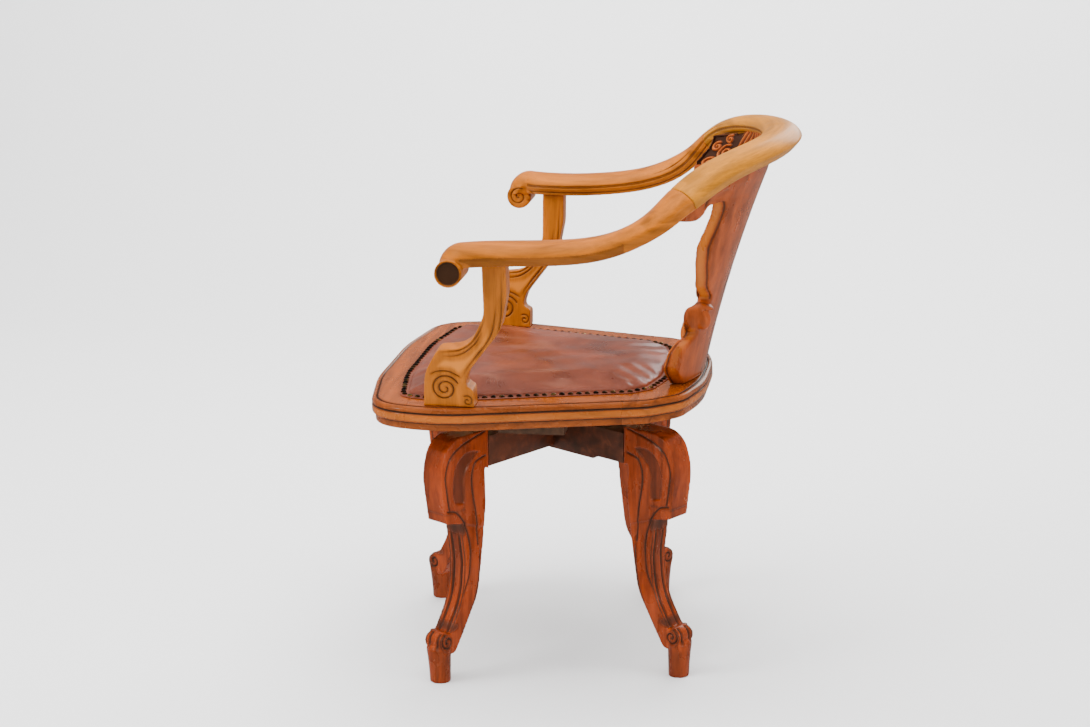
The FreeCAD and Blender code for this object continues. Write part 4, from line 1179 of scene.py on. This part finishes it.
THICK = 19.0                         # of the bent board
MIDDLE = SEAT_TOP / MM + 177         # height of the board's middle
REARS = (231.0, 277.0, 341.0)        # its rear at its foot, middle and head
BENDS = (190.0, 226.0, 262.0)        # the radius of its bend there


def splat_share(points):
    """How far through the board each point lies: 0 on its front face, 1 on its rear face."""
    up = (points[:, 2] - MIDDLE) / 177
    rear = REARS[1] + (REARS[2] - REARS[0]) / 2 * up + ((REARS[2] + REARS[0]) / 2 - REARS[1]) * up ** 2
    bend = BENDS[1] + (BENDS[2] - BENDS[0]) / 2 * up
    reach = np.hypot(points[:, 0], points[:, 1] - (rear - bend))
    return unit((reach - (bend - THICK)) / THICK)


def ear_pull(points):
    """How far the board's ears are drawn forwards of its bend."""
    upper = unit((points[:, 2] - 600) / 60) * np.clip((752 - points[:, 2]) / 34, 0.15, 1)
    return 12 * (points[:, 0] / 150) ** 2 * upper


def prism(name, outline, low, high):
    """A prism that stands on a front-view outline and reaches from low to high in y."""
    shape = bmesh.new()
    face = shape.faces.new([shape.verts.new(spot(x, low, z)) for x, z in outline])
    stretch(shape, bmesh.ops.extrude_face_region(shape, geom=[face]), (0, (high - low) * MM, 0))
    return new_piece(name, shape)


def egg(name, centre, radii, tilt=0.0):
    """An egg at a centre about the swivel axis."""
    shape = bmesh.new()
    bmesh.ops.create_uvsphere(shape, u_segments=24, v_segments=16, radius=1.0)
    size = Matrix.Diagonal((*(radius * MM for radius in radii), 1))
    shape.transform(Matrix.Translation(spot(*centre)) @ Matrix.Rotation(radians(tilt), 4, "X") @ size)
    return new_piece(name, shape, False)


def carved_apron():
    """The carved band that follows the crest's underside round the head of the splat."""
    line = rail_line()
    line = line[(np.abs(line[:, 0]) < 172) & (line[:, 1] > 0.5 * REACH)]
    share = np.interp(line[:, 1] / REACH, (0.36, 0.52, 0.655, 0.775, 0.925, 1.0),
                      (0.12, 0.33, 0.64, 0.85, 0.965, 1))
    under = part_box("crest_rail")[1].z / MM - 31 - 125 * (1 - share) - 1.5
    along = np.gradient(line, axis=0)
    along /= np.linalg.norm(along, axis=1)[:, None]
    inward = np.stack([along[:, 1], -along[:, 0]], 1)
    inward *= np.sign((inward * -line).sum(1))[:, None]
    shape = bmesh.new()
    skin(shape, [[shape.verts.new(spot(*(point + way * offset), level - drop))
                  for offset, drop in ((24, 28), (26, 26), (26, -15), (18, -15))]
                 for point, way, level in zip(line, inward, under)])
    return new_piece("apron", shape)


def shape_splat(piece):
    """Opens the notches beside the ears, thins and bends the ears forwards, adds knobs and collars."""
    notch = [(124, 622), (119, 640), (115, 658), (113, 676), (113.5, 694), (116, 706), (120.5, 713),
             (125.5, 715), (130, 712), (134, 704), (137, 697), (143, 690), (150, 682), (150, 640),
             (140, 622)]
    for hand in (1, -1):
        tool = prism("notch", [(x * hand, z) for x, z in notch[::hand]], 60, 380)
        modify(piece, "BOOLEAN", operation="DIFFERENCE", solver="EXACT", object=tool)
        bpy.data.objects.remove(tool)
    remesh(piece, 1.7)
    points = points_of(piece) - (0, AXIS.y / MM, 0)
    side = np.abs(points[:, 0])
    thinner = unit((side - 118) / 16) * unit((738 - points[:, 2]) / 20)
    points[:, 1] -= ear_pull(points) + 8 * thinner * splat_share(points) * (points[:, 2] > 660)
    into_crest = 4 + 3 * unit((side - 84) / 20)
    points[:, 2] += into_crest * unit((points[:, 2] - 742) / 10)
    put_points(piece, points + (0, AXIS.y / MM, 0))
    shape = bmesh.new()
    shape.from_mesh(piece.data)
    extra = [carved_apron()]
    for hand in (1, -1):
        extra.append(egg("ball", (86 * hand, 237.5, 533), (12, 12, 15.5)))
        extra.append(egg("front scroll", (86 * hand, 219, 534), (12, 11, 18)))
        extra.append(egg("collar", (80 * hand, 240, 552.5), (12, 13.5, 4.2), -22))
    for other in extra:
        shape.from_mesh(other.data)
        bpy.data.objects.remove(other)
    shape.to_mesh(piece.data)
    shape.free()
    remesh(piece, 1.4)
    smooth(piece, 2)
    ease(piece, 24, 0.5)


def carve_splat(work):
    """Edge beads, lobe lines, eyes, the carved head and the border of the front face."""
    at = work.at
    height = at[:, 2]
    side = np.abs(at[:, 0])
    bent = at.copy()
    bent[:, 1] += ear_pull(at)
    share = splat_share(bent)
    sideways = np.abs(work.facing[:, 0]) > 0.5
    deep = cuts().groove_deep
    lobe = sideways & (height < 522) & (side > 70)
    edge = sideways & (height > 562) & (height < 716)
    for mask, place, half in ((lobe, 0.24, 0.09), (edge, 0.86, 0.08)):
        shape = np.where(mask, hump((share - place) / half), 0)
        work.cut(shape * deep * 0.9, shape * 0.8)
    # painted shade round the knobs, and an eye drilled in each
    for across, up, reach in ((86, 521, 5.0), (84, 556, 5.0), (72, 546, 4.0)):
        work.cut(0, unit(1 - np.hypot(side - across, height - up) / reach) * 0.8)
    drilled = unit(1 - np.abs(np.hypot(at[:, 1] - 213, height - 522) - 3.2) / 1.6) * (side > 80)
    work.cut(drilled * 1.2, drilled * 0.9)
    # ears: a hook of shadow on the rear face
    hook = smooth_line([(168, 712), (163, 722), (153, 725), (145, 719), (143, 708)])
    rear_face = (work.facing[:, 1] > 0.3) & (height > 660)
    for hand in (1, -1):
        work.flat = np.stack([at[:, 0] * hand, height], 1)
        work.groove(hook, 2.2, deep * 1.2, rear_face, taper=6, wax_shade_highlight=0.85)
    # the front face: sunk ground under the crest with curls and flutes, and a border line
    front = work.facing[:, 1] < -0.35
    work.flat = np.stack([at[:, 0], height], 1)
    down = np.interp(side, (0, 60, 111, 150, 197), (772, 771, 768, 760, 752)) - height
    ground = unit((44 - down) / 3) * (height > 700)
    flutes = np.cos(np.pi * (at[:, 0] - down * 0.3 * np.sign(at[:, 0])) / 11) ** 2
    raised = flutes * (unit((131 - side) / 5) * unit((27 - down) / 3))
    for hand in (1, -1):
        for x, z, radius, turns in ((147, 738, 12, 1.7), (120, 732, 9, 1.4), (160, 720, 8, 1.3),
                                    (149, 758, 7, 1.3),
                                    (165, 744, 7, 1.3), (96, 736, 8, 1.3), (74, 736, 6, 1.2)):
            near = np.flatnonzero(front & (np.hypot(at[:, 0] * hand - x, height - z) < radius + 4))
            curl = spiral((x, z), radius, 1.2, turns, 100, -1)
            gap = gap_to(work.flat[near] * (hand, 1), curl)[0]
            raised[near] = np.maximum(raised[near], hump(gap / 2.3))
    left = np.where(front, ground * (1 - raised), 0)
    work.cut(left * 4.0, 0)
    border = smooth_line([(0, 706), (60, 704), (100, 700), (104, 680), (103, 655), (98, 625), (88, 596),
                          (76, 578),
                          (60, 566), (54, 555), (58, 546), (72, 540), (77, 528), (70, 517), (62, 512),
                          (84, 500),
                          (95, 482), (94, 462), (84, 447), (0, 445)])
    for hand in (1, -1):
        work.groove(border * (hand, 1), 1.7, deep, front, wax_shade_highlight=0.8)
    # last the painted highlights on the lobes and edges, and painted shade on the head's sunk ground with
    # painted highlights on its raised curls
    edge &= (side < 124) | (height < 690)
    for mask, middle, half, painted_highlight in ((lobe, 0.08, 0.14, 0.5), (lobe, 0.6, 0.3, 0.22),
                                      (edge, 0.42, 0.36, 0.5)):
        band = np.where(mask & (work.wax_shade_highlight < 0.1), hump((share - middle) / half), 0)
        work.wax_shade_highlight = np.where(band > 0, -painted_highlight * band, work.wax_shade_highlight)
    work.wax_shade_highlight = np.where(front & (ground > 0.5), np.maximum(left * 1.6 - 0.35, -0.4), work.wax_shade_highlight)
    # painted shade on the board's top faces under the crest
    shaded_top = ~front & (height > 700) & (down < 40) & (work.facing[:, 1] < 0.2)
    work.wax_shade_highlight = np.where(shaded_top, 0.85, work.wax_shade_highlight)


class CHAIR_OT_splat(bpy.types.Operator):
    """The curved back splat, carved in front and smooth behind, and the dowels in its head"""
    bl_idname = "chair.splat"
    bl_label = "Back splat"

    def execute(self, context):
        splat = new_piece("carved_back_splat", merged("back_splat"), False)
        shape_splat(splat)
        work = Carving(splat)
        carve_splat(work)
        work.done(lambda at: at[:, [2, 0, 1]])
        # red-brown, glossy where it is high
        tones = shades(finish().splat_wood, 0.5, 1.5)
        material = wood("bent mahogany board, polished", tones, 0.28, 0.4, 0.25)
        finish_piece(splat, "seat", "splat_wood", material, "back_splat")
        # the dowels lean with the board, so that none breaks out of its back
        low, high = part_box("splat_head_dowels")
        radius, spare = 3.6 * MM, 4 * MM
        reach, middle, tall = high.x - spare, (low.z + high.z) / 2, high.z - low.z - spare
        lean = Matrix.Rotation(radians(-16), 4, "X")
        side_depth, centre_depth = 253.0, 260.5
        pegs = bmesh.new()
        for x, y in ((-reach, side_depth), (0, centre_depth), (reach, side_depth)):
            bmesh.ops.create_cone(pegs, cap_ends=True, segments=24, radius1=radius, radius2=radius,
                                  depth=tall, matrix=Matrix.Translation((x, y * MM, middle)) @ lean)
        finish_piece(new_piece("leaning_head_dowels", pegs, False), "seat", "dowel_wood",
                     bpy.data.materials["turned beech"], "splat_head_dowels")
        return {"FINISHED"}


# ---------------------------------------------------------------- panel and run

OPERATORS = [CHAIR_OT_stage, CHAIR_OT_legs, CHAIR_OT_cross, CHAIR_OT_swivel, CHAIR_OT_board,
             CHAIR_OT_seat_frame,
             CHAIR_OT_leather, CHAIR_OT_nails, CHAIR_OT_webbing, CHAIR_OT_supports, CHAIR_OT_arms,
             CHAIR_OT_crest, CHAIR_OT_splat]


class CHAIR_PT_panel(bpy.types.Panel):
    """Lists the chair's sizes, colours and pieces"""
    bl_idname = "CHAIR_PT_panel"
    bl_label = "Revolving desk armchair"
    bl_space_type = "VIEW_3D"
    bl_region_type = "UI"
    bl_category = "Chair"

    def draw(self, context):
        for group in (context.scene.chair_finish, context.scene.chair_carving):
            for name in group.__annotations__:
                self.layout.prop(group, name)
        for operator in OPERATORS:
            self.layout.operator(operator.bl_idname)


CLASSES = [ChairFinish, ChairCarving, *OPERATORS, CHAIR_PT_panel]


def register():
    for item in CLASSES:
        bpy.utils.register_class(item)
    bpy.types.Scene.chair_finish = bpy.props.PointerProperty(type=ChairFinish)
    bpy.types.Scene.chair_carving = bpy.props.PointerProperty(type=ChairCarving)


def unregister():
    del bpy.types.Scene.chair_carving
    del bpy.types.Scene.chair_finish
    for item in reversed(CLASSES):
        bpy.utils.unregister_class(item)


def main():
    """Makes the whole chair."""
    register()
    for operator in OPERATORS:
        getattr(bpy.ops.chair, operator.bl_idname.split(".")[1])()


if __name__ == "__main__":
    main()
